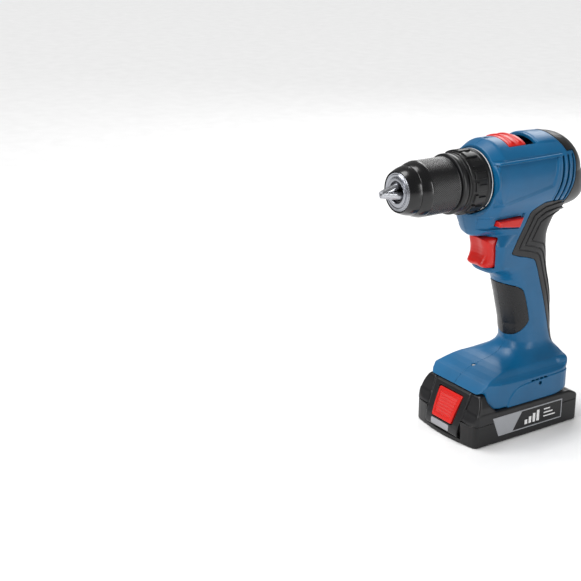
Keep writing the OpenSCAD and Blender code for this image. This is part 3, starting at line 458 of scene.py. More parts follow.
BLUE = plastic("blue_shell", (0.002, 0.100, 0.235), 0.34, 1300, 0.00004, (0.01, 0.17, 0.36))
RED = plastic("red_control", (0.56, 0.010, 0.006), 0.3, 1800, 0.00002, (0.72, 0.04, 0.02))
BLACK = plastic("black_shell", (0.0035, 0.0035, 0.004), 0.34, 1300, 0.00003, (0.02, 0.02, 0.022))
TRAY_BLACK = plastic(
    "battery_tray_black", (0.0025, 0.0025, 0.003), 0.34, 1100, 0.00003, (0.015, 0.015, 0.017))
COVER_GREY = plastic(
    "battery_cover_grey", (0.0075, 0.0075, 0.0085), 0.3, 1200, 0.00003, (0.03, 0.03, 0.033))
COLLAR_BLACK = plastic("collar_black", (0.0035, 0.0035, 0.004), 0.3, 1500, 0.00002, (0.03, 0.03, 0.033))
SLEEVE_BLACK = plastic(
    "sleeve_black", (0.002, 0.002, 0.0025), 0.2, 2200, 0.00001, (0.02, 0.02, 0.022), 0.3)
GRIP_RUBBER = rubber("grip_rubber", (0.004, 0.004, 0.005), 0.42)
PAD_RUBBER = rubber("pad_rubber", (0.0025, 0.0025, 0.0035), 0.27)
BRIGHT_STEEL = metal("bright_steel", (0.36, 0.37, 0.40), 0.24, (1, 0.2, 1), 900)
JAW_STEEL = metal("jaw_steel", (0.33, 0.34, 0.37), 0.26, (1, 4, 1), 700, 0.00002, (0.6, 0.61, 0.64))
STEEL = metal("steel", (0.56, 0.57, 0.59), 0.28)
DARK_STEEL = metal("dark_steel", (0.10, 0.10, 0.11), 0.4)
GEAR_STEEL = metal("gear_steel", (0.38, 0.39, 0.41), 0.38, (1, 5, 1))
SPRING_STEEL = metal("spring_steel", (0.5, 0.51, 0.53), 0.25)
COPPER = metal("copper_winding", (0.62, 0.27, 0.12), 0.35, (1, 12, 1), 1500, 0.00005)
LAMINATED = metal("laminated_iron", (0.2, 0.2, 0.22), 0.45, (1, 30, 1), 200, 0.00008)
BOARD_GREEN = plastic("board_green", (0.01, 0.12, 0.05), 0.3, 500, 0.00005)
CELL_WRAP = plastic("cell_wrap", (0.03, 0.22, 0.17), 0.25, 600, 0.00003)
IVORY = plastic("ivory_frame", (0.55, 0.52, 0.44), 0.45)
LENS = clear_lens("lamp_lens")
WHITE_INK = plastic("white_ink", (0.8, 0.8, 0.8), 0.4, 2500, 0.00001)
LABEL_SILVER = plastic("label_silver", (0.33, 0.34, 0.36), 0.3, 2500, 0.00001)
LABEL_DARK = plastic("label_dark", (0.003, 0.003, 0.0035), 0.22, 2500, 0.00001)
PALE_GREY = plastic("pale_grey_film", (0.3, 0.3, 0.32), 0.35, 2500, 0.00001)


# ---- Camera ----

AZIMUTH = math.radians(57.526)
ELEVATION = math.radians(18.932)
SENSOR = 36.0
FOCAL_PIXELS = 1200.0
IMAGE_PIXELS = 581.0


def make_camera():
    """Camera at the photograph's viewing angle and distance."""
    data = bpy.data.cameras.new("camera")
    data.sensor_width = SENSOR
    data.lens = SENSOR * FOCAL_PIXELS / IMAGE_PIXELS
    data.clip_end = 80
    camera = bpy.data.objects.new("camera", data)
    bpy.context.scene.collection.objects.link(camera)
    back = Vector((math.sin(AZIMUTH) * math.cos(ELEVATION),
                   -math.cos(AZIMUTH) * math.cos(ELEVATION), math.sin(ELEVATION)))
    camera.location = (0.6946, -0.6509, 0.4355)
    camera.rotation_mode = "QUATERNION"
    camera.rotation_quaternion = (-back).to_track_quat("-Z", "Y")
    bpy.context.scene.camera = camera


def area_light(name, place, target, size, power, colour=(1, 1, 1)):
    """A square softbox aimed at a point."""
    data = bpy.data.lights.new(name, "AREA")
    data.shape = "RECTANGLE"
    data.size, data.size_y = size
    data.energy = power
    data.color = colour
    light = bpy.data.objects.new(name, data)
    light.location = place
    light.rotation_euler = (Vector(target) - Vector(place)).to_track_quat("-Z", "Y").to_euler()
    bpy.context.scene.collection.objects.link(light)


def make_studio():
    """Pale floor, soft white surround and three softboxes."""
    world = bpy.data.worlds.new("studio")
    world.use_nodes = True
    world.node_tree.nodes["Background"].inputs["Color"].default_value = (1, 1, 1, 1)
    world.node_tree.nodes["Background"].inputs["Strength"].default_value = 0.26
    bpy.context.scene.world = world
    middle = (0, 0, 0.14)
    sun = bpy.data.lights.new("overhead", "SUN")
    sun.energy = 2.5
    sun.angle = math.radians(40)
    overhead = bpy.data.objects.new("overhead", sun)
    overhead.rotation_euler = Vector((0.35, 0.3, -1)).to_track_quat("-Z", "Y").to_euler()
    bpy.context.scene.collection.objects.link(overhead)
    area_light("key", (0.15, -1.1, 0.75), middle, (0.3, 0.9), 7)
    area_light("side", (1.15, 0.35, 0.45), middle, (0.14, 0.9), 4)
    area_light("back", (-0.7, 0.8, 0.9), middle, (0.6, 0.6), 5)
    bpy.ops.mesh.primitive_plane_add(size=60, location=(0, 0, -0.0002))
    floor = bpy.context.object
    floor.name = "floor"
    m, nodes, links, shader, place = new_material("pale_floor")
    speck = noise(nodes, links, place, 30, 3)
    links.new(ramp(nodes, links, speck, [(0.3, (0.86, 0.86, 0.86)), (0.7, (0.9, 0.9, 0.9))]),
              shader.inputs["Base Color"])
    shader.inputs["Roughness"].default_value = 0.7
    floor.data.materials.append(m)
    bpy.context.scene.view_settings.view_transform = "Standard"


# ---- Body shape: one field for the whole tool body, shared by all its mouldings ----

BODY_SIDE = Outline([
    (-42, 199), (30, 199), (52, 184), (45.1, 181.3), (40.7, 180), (34.9, 176.5), (32.8, 172), (31, 167),
    (30.5, 161.8), (32.3, 151), (36.3, 134.6), (41.8, 117.8), (45.3, 96), (48, 74), (49, 62), (48, 48),
    (-4, 48), (1, 62), (3.4, 75), (-9.5, 124), (-13.5, 131.5), (-24, 135.2), (-28, 137.5), (-26, 143),
    (-25.2, 150), (-25.4, 160), (-27, 167), (-37, 167.7), (-42, 168.6), (-44.4, 170.8), (-48.6, 184),
    (-49.3, 190)], 1)

FOOT_SIDE = Outline([
    (-50.6, 42.2), (-45.5, 47.6), (-41.4, 51.6), (-30, 55.4), (-16, 58.4), (0, 60.4), (24, 60.4),
    (40, 58.6), (46.6, 55.5), (46.9, 42), (46.7, 28.6), (-20, 28.6), (-34.6, 28.6),
    (-39.2, 32.6), (-42.8, 36.6), (-43.8, 43.5), (-46, 44.5)], 1)

FOOT_PLAN = Outline([
    (-23.9, -52), (-30.5, -48), (-33.6, -42), (-35.2, -28), (-35.6, 0), (-35.2, 34), (-33.8, 42),
    (-30, 47.2), (30, 47.2), (33.8, 42), (35.2, 34), (35.6, 0), (35.2, -28), (33.6, -42),
    (30.5, -48), (23.9, -52)], 1)

FOOT_FRONT = Outline([
    (-38, 20), (-38, 46.5), (-35.4, 48.6), (-31.8, 51.4), (-29.6, 55.8), (-28, 57.6),
    (-14, 60.5), (14, 60.5), (28, 57.6), (29.6, 55.8), (31.8, 51.4), (35.4, 48.6), (38, 46.5),
    (38, 20)], 1)

LABEL_PANEL = Outline([(-38.5, 229.2), (23.2, 229.2), (16.4, 207.4), (-37.4, 195.9), (-40.2, 206)], 0)
REAR_GRIP = Outline([
    (3.6, 187.5), (1.4, 184.2), (-12.2, 154.4), (-11.2, 151.6), (12, 145.4), (16.2, 141.4),
    (24.5, 119), (32.5, 95), (38.5, 74), (42, 66), (60, 62), (62, 196), (20, 196)], 1)
FRONT_PAD = Outline([
    (-24, 127.5), (-4, 123.6), (3, 120.8), (6.8, 117), (14.2, 92.5), (13.6, 89.2), (6.6, 80),
    (0.5, 75.2), (-8, 72.5), (-22, 74)], 1)
LEVER_FRAME = Outline([(-45, 185.6), (-3.4, 186.4), (-8.4, 174.4), (-43.6, 176.2)], 0)
LEVER_HOLE = Outline([(-32, 183.8), (-5.3, 183.9), (-9.2, 175.2), (-31.6, 178.3)], 0)
RAISED_FLANK = Outline([
    (-22.5, 20), (-21.8, 33), (-15.5, 41.5), (-9, 44.4), (10, 46), (37, 46.8), (60, 47.4),
    (60, 20)], 1)

DOME = [(32.2, 27.0), (31.2, 37.0), (28.2, 45.5), (23.0, 53.0), (15.5, 59.0), (7.0, 61.8)]


def radial(x, z):
    """Distance from the spindle axis."""
    return np.hypot(x, z - AXIS_Z)


MOUTH_R, MOUTH_Y = 27.9, -39.8
RIM_Y = -31.2
DOME_END = 62.5
RAIL_LOW, RAIL_HIGH = 229.4, 231.1
FLANK_RISE = 0.9
PANEL_DEEP, FRAME_DEEP = 1.3, 1.2


def barrel(x, y, z):
    """Motor barrel with its domed rear, the sloped mouth round the collar and a rail along each side."""
    r = radial(x, z)
    skin = r - BARREL_R
    back = y - 0.55 * np.maximum(0, AXIS_Z + 2.5 - z)
    for (r0, y0), (r1, y1) in zip(DOME[:-1], DOME[1:]):
        length = math.hypot(r1 - r0, y1 - y0)
        skin = smax(skin, ((r - r0) * (y1 - y0) - (back - y0) * (r1 - r0)) / length, 2.5)
    skin = smax(skin, back - DOME_END, 2.5)
    run, rise = RIM_Y - MOUTH_Y, BARREL_R - MOUTH_R
    length = math.hypot(run, rise)
    mouth = ((r - MOUTH_R) * run - (y - MOUTH_Y) * rise) / length
    upper = smax(skin, mouth, 0.8)
    bow = 0.022 * (z - 217) ** 2
    lower = smax(skin, (r - BARREL_R + 1.2) * 0.5 - (y + 41.2 - bow) * 0.866, 1.0)
    d = smin(upper, np.maximum(lower, z - RAIL_HIGH), 0.4)
    d = smax(d, MOUTH_Y - 0.6 - y, 0.5)
    sides = ease((np.abs(x) - 20) / 3) * ease((y + 41) / 2) * ease((30 - y) / 3)
    rail = ease((z - RAIL_LOW + 0.3) / 0.5) * ease((RAIL_HIGH + 0.2 - z) / 0.5)
    groove = np.exp(-((z - RAIL_HIGH - 0.55) / 0.45) ** 2)
    block = ease((y - 9.6) / 1.2) * ease((32 - y) / 6)
    block = block * ease((18.5 - np.abs(x)) / 1.5) * ease((z - 225) / 5)
    return d - sides * (0.45 * rail - 0.5 * groove) - 0.7 * block


def neck_half_width(z):
    """Half width of the neck and handle at each height."""
    return np.interp(z, [48, 66, 78, 92, 124, 138, 152, 168, 184, 200],
                     [24, 18.6, 17.3, 17.0, 17.2, 17.8, 19.0, 20.6, 22.4, 24])


def handle(x, y, z):
    """Neck and handle: the side outline rounded into the width."""
    front = np.interp(z, [60, 128, 146, 160, 169, 200], [20, 20, 8, 8, 24, 24])
    k = front + (20 - front) * ease((y + 12) / 24)
    return smax(BODY_SIDE(y, z), np.abs(x) - neck_half_width(z), k)


def foot(x, y, z):
    """Foot over the battery, with its rear lug."""
    d = smax(FOOT_SIDE(y, z), FOOT_PLAN(x, y), 1.2)
    d = smax(d, FOOT_FRONT(x, z), 0.7)
    lug = brick(x, y, z, (-31, 36, 47.5), (31, 48.5, 57.5), 4)
    return smin(d, lug, 1.6)


def body(x, y, z):
    """Outer skin of the whole body."""
    d = smin(handle(x, y, z), foot(x, y, z), 13)
    d = np.maximum(d, SKIRT_Z - z)
    d = smin(d, barrel(x, y, z), 7)
    flank = RAISED_FLANK(y, z)
    d = d - FLANK_RISE * ease(0.5 - flank / 1.1) * ease((np.abs(x) - 30) / 3) * ease((56 - z) / 4)
    side = ease((np.abs(x) - 8) / 8)
    panel = LABEL_PANEL(y, z)
    slanted = ease((RAIL_LOW - 1 - z) / 3) * 2.2 + 1.0
    d = d + PANEL_DEEP * ease(0.5 - panel / slanted) * side
    frame_area = LEVER_FRAME(y, z)
    d = d + FRAME_DEEP * ease(0.5 - frame_area / 0.9) * side * ease((190 - z) / 3)
    collar_room = np.maximum(radial(x, z) - COLLAR_R - 0.5, y - COLLAR_Y1 - 0.25)
    return np.maximum(d, -collar_room)


def cap_line(z):
    """Station of the seam between the blue shell and the black cap, at each height."""
    return np.interp(z, [192, 200, 206, 216, 224, 230], [38, 37.7, 38.9, 40.8, 41.9, 42.5])


def cap_zone(x, y, z):
    """Negative inside the black rear cap."""
    upper = 28.3 + 0.0105 * np.abs(x) ** 2 - y
    lower = cap_line(z) - y
    zone = np.where(z > 232, upper, lower)
    return np.maximum(zone, -(z - 186 + (y - 34) * 0.32))


VENT_Y, VENT_PITCH = 24.2, 5.85
VENT_HALF, VENT_LOW, VENT_HIGH = 1.05, 191.5, 229.4


def vent_phase(y, z):
    """0, 1 and 2 on the three curved louvres' middle lines."""
    curve = np.interp(z, [191, 197, 204, 213, 221.5, 229.5], [0, -0.7, 0, 1.5, 3.0, 4.5])
    return (y - VENT_Y - curve) / VENT_PITCH


def vents(x, y, z):
    """Three curved louvres in each side of the barrel."""
    phase = vent_phase(y, z)
    near = np.abs(phase - np.clip(np.round(phase), 0, 2)) * VENT_PITCH
    return np.maximum(smax(near - VENT_HALF, slab(z, VENT_LOW, VENT_HIGH), 0.8), 10 - np.abs(x))


def vent_swell(x, y, z):
    """Soft rib between the louvres."""
    phase = vent_phase(y, z)
    within = ease((phase + 0.6) / 0.3) * ease((2.6 - phase) / 0.3)
    tall = ease((z - 189.5) / 2) * ease((231 - z) / 1.5) * ease((np.abs(x) - 12) / 6)
    return within * tall * (0.8 * (0.5 - 0.5 * np.cos(2 * math.pi * phase)) - 0.35)


TRIGGER_HALF, TRIGGER_GAP = 13.4, 0.4
SELECTOR_HALF = 17.0
LAMP_R = 1.75
BATTERY_ROOM_HALF = 27.5
SLITS_Y = (3.0, 7.6, 12.2, 16.8)


def controls(x, y, z):
    """Openings for the trigger, lever, selector, lamp and battery."""
    low, high = box_mm("trigger")
    half = TRIGGER_HALF + TRIGGER_GAP
    d = brick(x, y, z, (-half, -60, low[2] - TRIGGER_GAP), (half, -8, high[2] + 0.25), 1.5)
    d = np.minimum(d, LEVER_HOLE(y, z))
    low, high = box_mm("speed_selector")
    pocket = smax(slab(y, low[1] - 0.5, high[1] + 10.6), np.abs(x) - SELECTOR_HALF - 0.6, 0.6)
    d = np.minimum(d, smax(pocket, BARREL_R - 2.6 - radial(x, z), 0.4) + 1e3 * (z < AXIS_Z))
    low, high = box_mm("work_light")
    lamp = np.hypot(x, y - (low[1] + high[1]) / 2) - LAMP_R
    d = np.minimum(d, np.maximum(lamp, 45 - z))
    half = BATTERY_ROOM_HALF
    d = np.minimum(d, brick(x, y, z, (-half, -70, 0), (half, 42.4, BLOCK_TOP + 0.5), 0.8))
    hole = np.hypot(y - 12.5, z - 42.3) - 1.65
    d = np.minimum(d, np.maximum(hole, 28 - np.abs(x)))
    for y0 in SLITS_Y:
        slit = brick(np.abs(x), y, z, (30, y0, 45.2 + y0 * 0.02), (40, y0 + 3.6, 46.3 + y0 * 0.02), 0.3)
        d = np.minimum(d, slit)
    return d


BORE_R = 24.1
WELL_R, WELL_X = 3.3, -8.8
GRIP_TOP, GRIP_DEEP, GRIP_BED = 196, 1.42, 1.5
CHANNELS = (5.5, 10.0, 14.5)
SCREWS = [(-39, 177), (20.5, 163.5), (-1.5, 127), (30.5, 82.1), (-35.5, 47.1), (38, 49.1)]


def blue_field(side):
    """Field of one blue half: side is +1 for the left half and -1 for the right."""
    def field(x, y, z):
        skin = body(x, y, z)
        blue = skin - vent_swell(x, y, z)
        d = np.maximum(blue, -(skin + WALL))
        recess = np.minimum(REAR_GRIP(y, z), FRONT_PAD(y, z))
        recess = np.maximum(recess, z - GRIP_TOP + 0 * x)
        barrel_only = barrel(x, y, z)
        recess = np.maximum(recess, -(barrel_only - 0.2))
        d = np.maximum(d, -np.maximum(recess - 0.12, -(skin + GRIP_BED)))
        d = np.maximum(d, -(cap_zone(x, y, z) - 0.08))
        d = np.maximum(d, -vents(x, y, z))
        d = np.maximum(d, -controls(x, y, z))
        bore = np.maximum(radial(x, z) - BORE_R, slab(y, -60, -30))
        d = np.maximum(d, -bore)
        d = smax(d, 0.03 - side * x, 0.12)
        if side < 0:
            for sy, sz in SCREWS:
                well = np.maximum(np.hypot(y - sy, z - sz) - WELL_R, x - WELL_X)
                d = np.maximum(d, -well)
        return d
    return field


def rear_grip_field(side):
    """Field of one half of the rubber on the handle's back, with its stepped channels."""
    def field(x, y, z):
        skin = body(x, y, z)
        zone = REAR_GRIP(y, z)
        steps = 0.0
        for depth in CHANNELS:
            steps = steps + 0.45 * ease((-zone - depth) / 0.7)
            steps = steps - 0.5 * np.exp(-((zone + depth) / 0.55) ** 2)
        upper = ease((z - 70) / 30)
        d = smax(skin - 0.1 - steps * upper * 0.8, zone + 0.1, 0.5)
        d = np.maximum(d, -(skin + GRIP_DEEP))
        d = np.maximum(d, -(barrel(x, y, z) - 0.3))
        d = np.maximum(d, -(cap_zone(x, y, z) - 0.1))
        d = np.maximum(d, z - GRIP_TOP)
        return smax(d, 0.02 - side * x, 0.08)
    return field


def front_pad_field(side):
    """Field of one half of the smooth pad on the handle's front."""
    def field(x, y, z):
        skin = body(x, y, z)
        d = smax(skin - 0.25, FRONT_PAD(y, z) + 0.1, 0.8)
        d = np.maximum(d, -(skin + GRIP_DEEP))
        return smax(d, 0.02 - side * x, 0.08)
    return field


def cap_field(x, y, z):
    """Field of the black rear cap, a shell with a small central stud."""
    skin = barrel(x, y, z)
    zone = cap_zone(x, y, z) + 0.1
    d = smax(skin - 0.5, zone, 0.6)
    d = np.maximum(d, -(skin + 2.2))
    stud = smax(np.hypot(x, z - AXIS_Z - 2) - 6.5, y - 64.3, 1.5)
    stud = np.maximum(stud, 58 - y)
    return smin(d, stud, 1.0)


def finish_piece(piece, material, body_name, nodes=()):
    """Gives a piece its material and body, and hides the CAD nodes that it stands for."""
    piece.data.materials.append(material)
    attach(piece, body_name)
    if nodes:
        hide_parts(*nodes)
    return piece


slot_of = {s["node"]: s["material_slot"] for s in frame["record"]["subparts"]}
STEP = 0.5


def make_body():
    """The blue halves, the rubber grips and the rear cap."""
    for side, name in ((1, "left"), (-1, "right")):
        low_x, high_x = (-0.7, 38) if side > 0 else (-38, 0.7)
        shell = moulded(f"shell_{name}", blue_field(side), (low_x, -57, 26), (high_x, 52, 248), STEP)
        finish_piece(shell, BLUE, "housing", [f"housing_{name}"])
        grip_low, grip_high = (low_x, -16, 60), (high_x, 56, 198)
        grip = moulded(f"back_grip_{name}", rear_grip_field(side), grip_low, grip_high, STEP * 0.8)
        finish_piece(grip, GRIP_RUBBER, "housing", [f"rear_grip_{name}"])
        pad_low, pad_high = (low_x, -18, 70), (high_x, 18, 128)
        pad = moulded(f"palm_pad_{name}", front_pad_field(side), pad_low, pad_high, STEP * 0.8)
        finish_piece(pad, PAD_RUBBER, "housing", [f"front_grip_{name}"])
    cap = moulded("end_cap", cap_field, (-34, 26, 178), (34, 72, 247), STEP)
    finish_piece(cap, BLACK, "housing", ["rear_cap"])


# ---- Chuck and collar ----

def knurl(angle, y, r):
    """Diamond knurl between the plain ends of the sleeve."""
    y0, y1 = SLEEVE_Y1 - 27.3, SLEEVE_Y1 - 1.4
    outer = r > SLEEVE_R - 0.05
    fade = ease((y - y0) / 0.6) * ease((y1 - y) / 0.6) * outer
    turns = 84
    pitch = 2 * math.pi * SLEEVE_R / turns
    u = angle * turns / (2 * math.pi)
    v = (y - y0) / (pitch * 1.25)
    wave = 0.5 * (np.abs(np.sin(math.pi * (u + v))) + np.abs(np.sin(math.pi * (u - v))))
    return -0.42 * fade * (1 - wave)


def make_chuck():
    """Sleeve with its knurl, nose ring and the plain ring behind."""
    r = SLEEVE_R
    y0, y1 = NOSE_Y, SLEEVE_Y1
    bore = 17.9
    outer = [(NOSE_R + 0.4, y0), (NOSE_R + 0.9, y0 + 0.1)]
    step_r = 19.2
    nose = NOSE_R + 1.0
    for t in np.linspace(0, 1, 14):
        swell = t + 0.16 * math.sin(t * math.pi)
        outer.append((nose + (step_r - nose) * swell, y0 + 0.3 + 8.9 * t))
    outer += [(step_r - 0.2, y0 + 9.35), (step_r - 0.35, y0 + 9.5)]
    outer += [(step_r - 0.35, y0 + 9.8), (step_r, y0 + 9.95)]
    for t in np.linspace(0.05, 1, 10):
        swell = t + 0.12 * math.sin(t * math.pi)
        outer.append((step_r + 0.05 + (r - step_r - 0.05) * swell, y0 + 10 + 7.4 * t))
    outer += fine_profile([(r, y0 + 17.8), (r, y1 - 0.5)], 0.42)[:int(27 / 0.42)]
    outer += [(r, y1 - 0.9), (r - 0.15, y1 - 0.3), (r - 0.6, y1)]
    inner = [(bore, y1), (bore, y0 + 15.2), (16.6, y0 + 15.2), (16.6, y0 + 9), (NOSE_R + 0.4, y0 + 9)]
    around = 1008
    sleeve = lathe("knurled_sleeve", outer + inner, around, knurl)
    finish_piece(sleeve, SLEEVE_BLACK, "sleeve", ["chuck_sleeve"])
    ease_edges(sleeve, 50)

    hole = 8.6
    steps = [(hole, y0 - 0.6), (hole + 0.3, y0 - 0.9), (11.0, y0 - 1.0), (11.3, y0 - 0.8), (11.4, y0 - 0.2),
             (11.8, y0 - 0.1), (12.6, y0 - 0.5), (13.2, y0 - 0.5), (13.5, y0 - 0.2), (13.8, y0 + 0.2),
             (14.6, y0 + 0.1), (NOSE_R - 0.1, y0 + 0.5), (NOSE_R, y0 + 1.0), (NOSE_R, y0 + 4),
             (hole + 3, y0 + 4), (hole, y0 + 1.5)]
    ring = lathe("nose_ring", steps, 240)
    finish_piece(ease_edges(ring, 40), BRIGHT_STEEL, "chuck", ["chuck_nose_ring"])

    b0, b1, br = BAND_Y0, BAND_Y1, BAND_R
    band = [(17.7, b0), (br - 0.9, b0), (br - 0.35, b0 + 0.25), (br, b0 + 0.8), (br, b1 - 0.9),
            (br - 0.4, b1 - 0.3), (br - 1, b1), (9.6, b1), (9.6, b1 - 1.4), (17.7, b1 - 1.4)]
    piece = lathe("chuck_band", band, 240)
    finish_piece(ease_edges(piece, 40), COLLAR_BLACK, "chuck", ["chuck_rear_ring"])


LUGS = 16
LUG_R = COLLAR_R - 1.5


def collar_relief(angle, y, r):
    """Crenellated lugs: long bars from the front edge, each widening into a block at the rear."""
    outer = ease((r - LUG_R + 0.6) / 0.3)
    phase = (angle / (2 * math.pi) * LUGS + 0.5) % 1.0 - 0.5
    arc = np.abs(phase) * 2 * math.pi * COLLAR_R / LUGS
    bar = ease((2.9 - arc) / 0.5) * ease((y - COLLAR_Y0 - 4.4) / 0.5) * ease((COLLAR_Y1 - 6.6 - y) / 0.5)
    side = phase * 2 * math.pi * COLLAR_R / LUGS
    tab = ease((side + 0.4) / 0.4) * ease((5.0 - side) / 0.5)
    tab = tab * ease((y - COLLAR_Y0 - 4.4) / 0.5) * ease((COLLAR_Y0 + 8.4 - y) / 0.5)
    return 1.45 * np.maximum(bar, tab * 0.999) * outer


ARC_END, ARC_TOP = math.radians(-44), math.radians(112)


def arc_sink(angle, y, r):
    """Sinks the index line into the collar outside its arc."""
    turn = (angle + math.pi) % (2 * math.pi) - math.pi
    return -0.6 * ((turn < ARC_END) | (turn > ARC_TOP)) + 0 * y


def make_collar():
    """Torque collar with lugs, a white index ring and dial numbers."""
    y0, y1, r = COLLAR_Y0, COLLAR_Y1, LUG_R
    outer = [(17.5, y0), (r - 1.6, y0), (r - 1.0, y0 + 0.3), (r - 0.7, y0 + 1.2), (r - 0.9, y0 + 2.0)]
    outer += [(r - 0.9, y0 + 2.6), (r - 0.1, y0 + 3.0)]
    outer += [(r, y) for y in np.arange(y0 + 3.3, y1 - 5.8, 0.3)]
    outer += [(r + 0.3, y1 - 5.6), (r + 0.7, y1 - 5.0), (r + 0.8, y1 - 4.0)]
    outer += [(r + 0.8, y1 - 0.6), (r + 0.4, y1)]
    inner = [(21.3, y1), (21.3, y0 + 2.2), (17.5, y0 + 2.2)]
    collar = lathe("clutch_collar", outer + inner, 960, collar_relief)
    finish_piece(ease_edges(collar, 45), COLLAR_BLACK, "torque_collar", ["torque_collar"])

    top = r + 0.82
    line0, line1 = y1 - 1.95, y1 - 1.15
    line = [(top - 0.3, line0), (top + 0.04, line0), (top + 0.04, line1), (top - 0.3, line1)]
    finish_piece(lathe("index_arc", line, 480, arc_sink), WHITE_INK, "torque_collar")
    make_dial(top, (y1 - 4.2, y1 - 1.7))


SEGMENTS = {
    "0": "abcdef", "1": "bc", "2": "abged", "3": "abgcd", "4": "fgbc",
    "5": "afgcd", "6": "afgedc", "7": "abc", "8": "abcdefg", "9": "abcdfg",
}


def make_dial(radius_mm, band):
    """Dial numbers 1 to 20 round the collar, as thin raised strokes."""
    y0, y1 = band
    h = y1 - y0
    w = 0.55 * h
    stroke = 0.34
    bars = {
        "a": (0, h - stroke, w, h), "d": (0, 0, w, stroke), "g": (0, (h - stroke) / 2, w, (h + stroke) / 2),
        "f": (0, h / 2, stroke, h), "b": (w - stroke, h / 2, w, h),
        "e": (0, 0, stroke, h / 2), "c": (w - stroke, 0, w, h / 2),
    }
    verts, quads = [], []
    for number in range(1, 21):
        start = ARC_END - math.radians(7 + (20 - number) * 9.5)
        word = str(number)
        width = len(word) * (w + 0.4)
        for place, digit in enumerate(word):
            for name in SEGMENTS[digit]:
                u0, v0, u1, v1 = bars[name]
                shift = place * (w + 0.4) - width / 2
                ring = []
                for lift in (-0.25, 0.05):
                    for u, v in ((u0, v0), (u1, v0), (u1, v1), (u0, v1)):
                        a = start - (u + shift) / radius_mm
                        rr = radius_mm + lift
                        ring.append((rr * math.cos(a), y0 + v, AXIS_Z + rr * math.sin(a)))
                b = len(verts)
                verts += ring
                quads += [(b, b + 1, b + 2, b + 3), (b + 7, b + 6, b + 5, b + 4)]
                quads += [(b + i, b + i + 4, b + (i + 1) % 4 + 4, b + (i + 1) % 4) for i in range(4)]
    dial = mesh_object("dial_numbers", np.array(verts), np.array(quads))
    for p in dial.data.polygons:
        p.use_smooth = False
    finish_piece(dial, WHITE_INK, "torque_collar")


# ---- Controls ----

TRIGGER_SIDE = Outline([
    (-34.5, 167.0), (-33.6, 162), (-32.0, 156.5), (-32.4, 150.8), (-35.2, 146.4), (-35.6, 144.6),
    (-34.2, 142.8), (-30, 140.8), (-26, 140.6), (-15.5, 140.9), (-15.5, 167.0)], 1)


def trigger_field(x, y, z):
    """Trigger with a dished finger face, widening towards the handle."""
    low, high = box_mm("trigger")
    half = np.interp(y, [-36, -22], [TRIGGER_HALF - 3.1, TRIGGER_HALF])
    dish = 1.2 * np.exp(-(x / 5.5) ** 2)
    d = smax(TRIGGER_SIDE(y - dish, z), np.abs(x) - half, 6.0)
    return np.maximum(d, slab(z, low[2], high[2]))


def selector_field(x, y, z):
    """Speed selector: a plate following the barrel's curve, with two ribs across it."""
    low, high = box_mm("speed_selector")
    r = radial(x, z)
    plan = smax(slab(y, low[1] + 0.1, high[1] - 0.1), np.abs(x) - SELECTOR_HALF, 1.0)
    d = smax(plan, slab(r, BARREL_R - 2.2, BARREL_R + 0.1), 0.5)
    for middle in (low[1] + 5.4, low[1] + 13.0):
        rib = smax(slab(y, middle - 2.2, middle + 2.2), np.abs(x) - SELECTOR_HALF + 0.9, 1.2)
        d = smin(d, smax(rib, slab(r, BARREL_R - 1.5, BARREL_R + 1.2), 2.2), 0.7)
    return np.maximum(d, AXIS_Z - z)


LEVER_SIDE = Outline([(-31.5, 183.3), (-6, 183.4), (-9.6, 175.8), (-31.1, 178.8)], 0)


def lever_field(x, y, z):
    """Direction lever: a wedge-ended bar through the neck."""
    low, high = box_mm("direction_lever")
    return smax(LEVER_SIDE(y, z), slab(x, float(low[0]), float(high[0])), 1.4)


def make_controls():
    """Trigger, selector and lever."""
    fine = STEP * 0.6
    low, high = box_mm("trigger")
    side = TRIGGER_HALF + 1
    piece = moulded("trigger_blade", trigger_field, (-side, -39, low[2] - 1), (side, -9, high[2] + 1), fine)
    finish_piece(piece, RED, "trigger", ["trigger"])
    low, high = box_mm("speed_selector")
    side = SELECTOR_HALF + 1
    piece = moulded("selector_slide", selector_field, (-side, low[1] - 1, AXIS_Z + 23),
                    (side, high[1] + 1, AXIS_Z + 35), fine)
    finish_piece(piece, RED, "speed_selector", ["speed_selector"])
    low, high = box_mm("direction_lever")
    piece = moulded("lever_bar", lever_field, tuple(low - 1.5), tuple(high + 1.5), fine)
    finish_piece(piece, RED, "direction_lever", ["direction_lever"])


# ---- Battery ----

BATT_PLAN = Outline([
    (-38, -53), (-37, -55.8), (-34, -57.8), (-21, -59.8), (0, -60.6),
    (21, -59.8), (34, -57.8), (37, -55.8), (38, -53),
    (38, 53), (36.6, 55.6), (34, 57), (-34, 57), (-36.6, 55.6), (-38, 53)], 1)
CHEEK_SIDE = Outline([
    (-58.8, 10), (-57.6, 20), (-55.2, 26), (-50.4, 39.6), (-49.2, 41.8), (-44.4, 43.4),
    (-43.4, 42.6), (-42.6, 36.6),
    (-39.0, 32.3), (-34.6, 28.3), (-34.6, 20), (-34.6, 10)], 1)
CHEEK_FRONT = Outline([
    (-42, 10), (-39, 26), (-37.4, 32), (-34.6, 38), (-31.5, 43.2), (-28, 44),
    (28, 44), (31.5, 43.2), (34.6, 38),
    (37.4, 32), (39, 26), (42, 10)], 1)
PANEL_SIDE = Outline([
    (-59.4, 4.4), (-61.4, 5.2), (-62.0, 8), (-61.6, 12), (-58.6, 20.5), (-51.4, 38.2), (-50.2, 41.2),
    (-41, 41.2), (-41, 21), (-52, 21), (-52, 4.4)], 1)


LABEL = Outline([(-39.4, 23.3), (37.9, 23.3), (37.9, 5.7), (-32.5, 5.7)], 0)


def label_recess(x, y, z):
    """Depth of the shallow recess that each side label sits in."""
    return 0.3 * ease(0.5 - LABEL(y, z) / 0.5) * ease((np.abs(x) - 36) / 0.8)


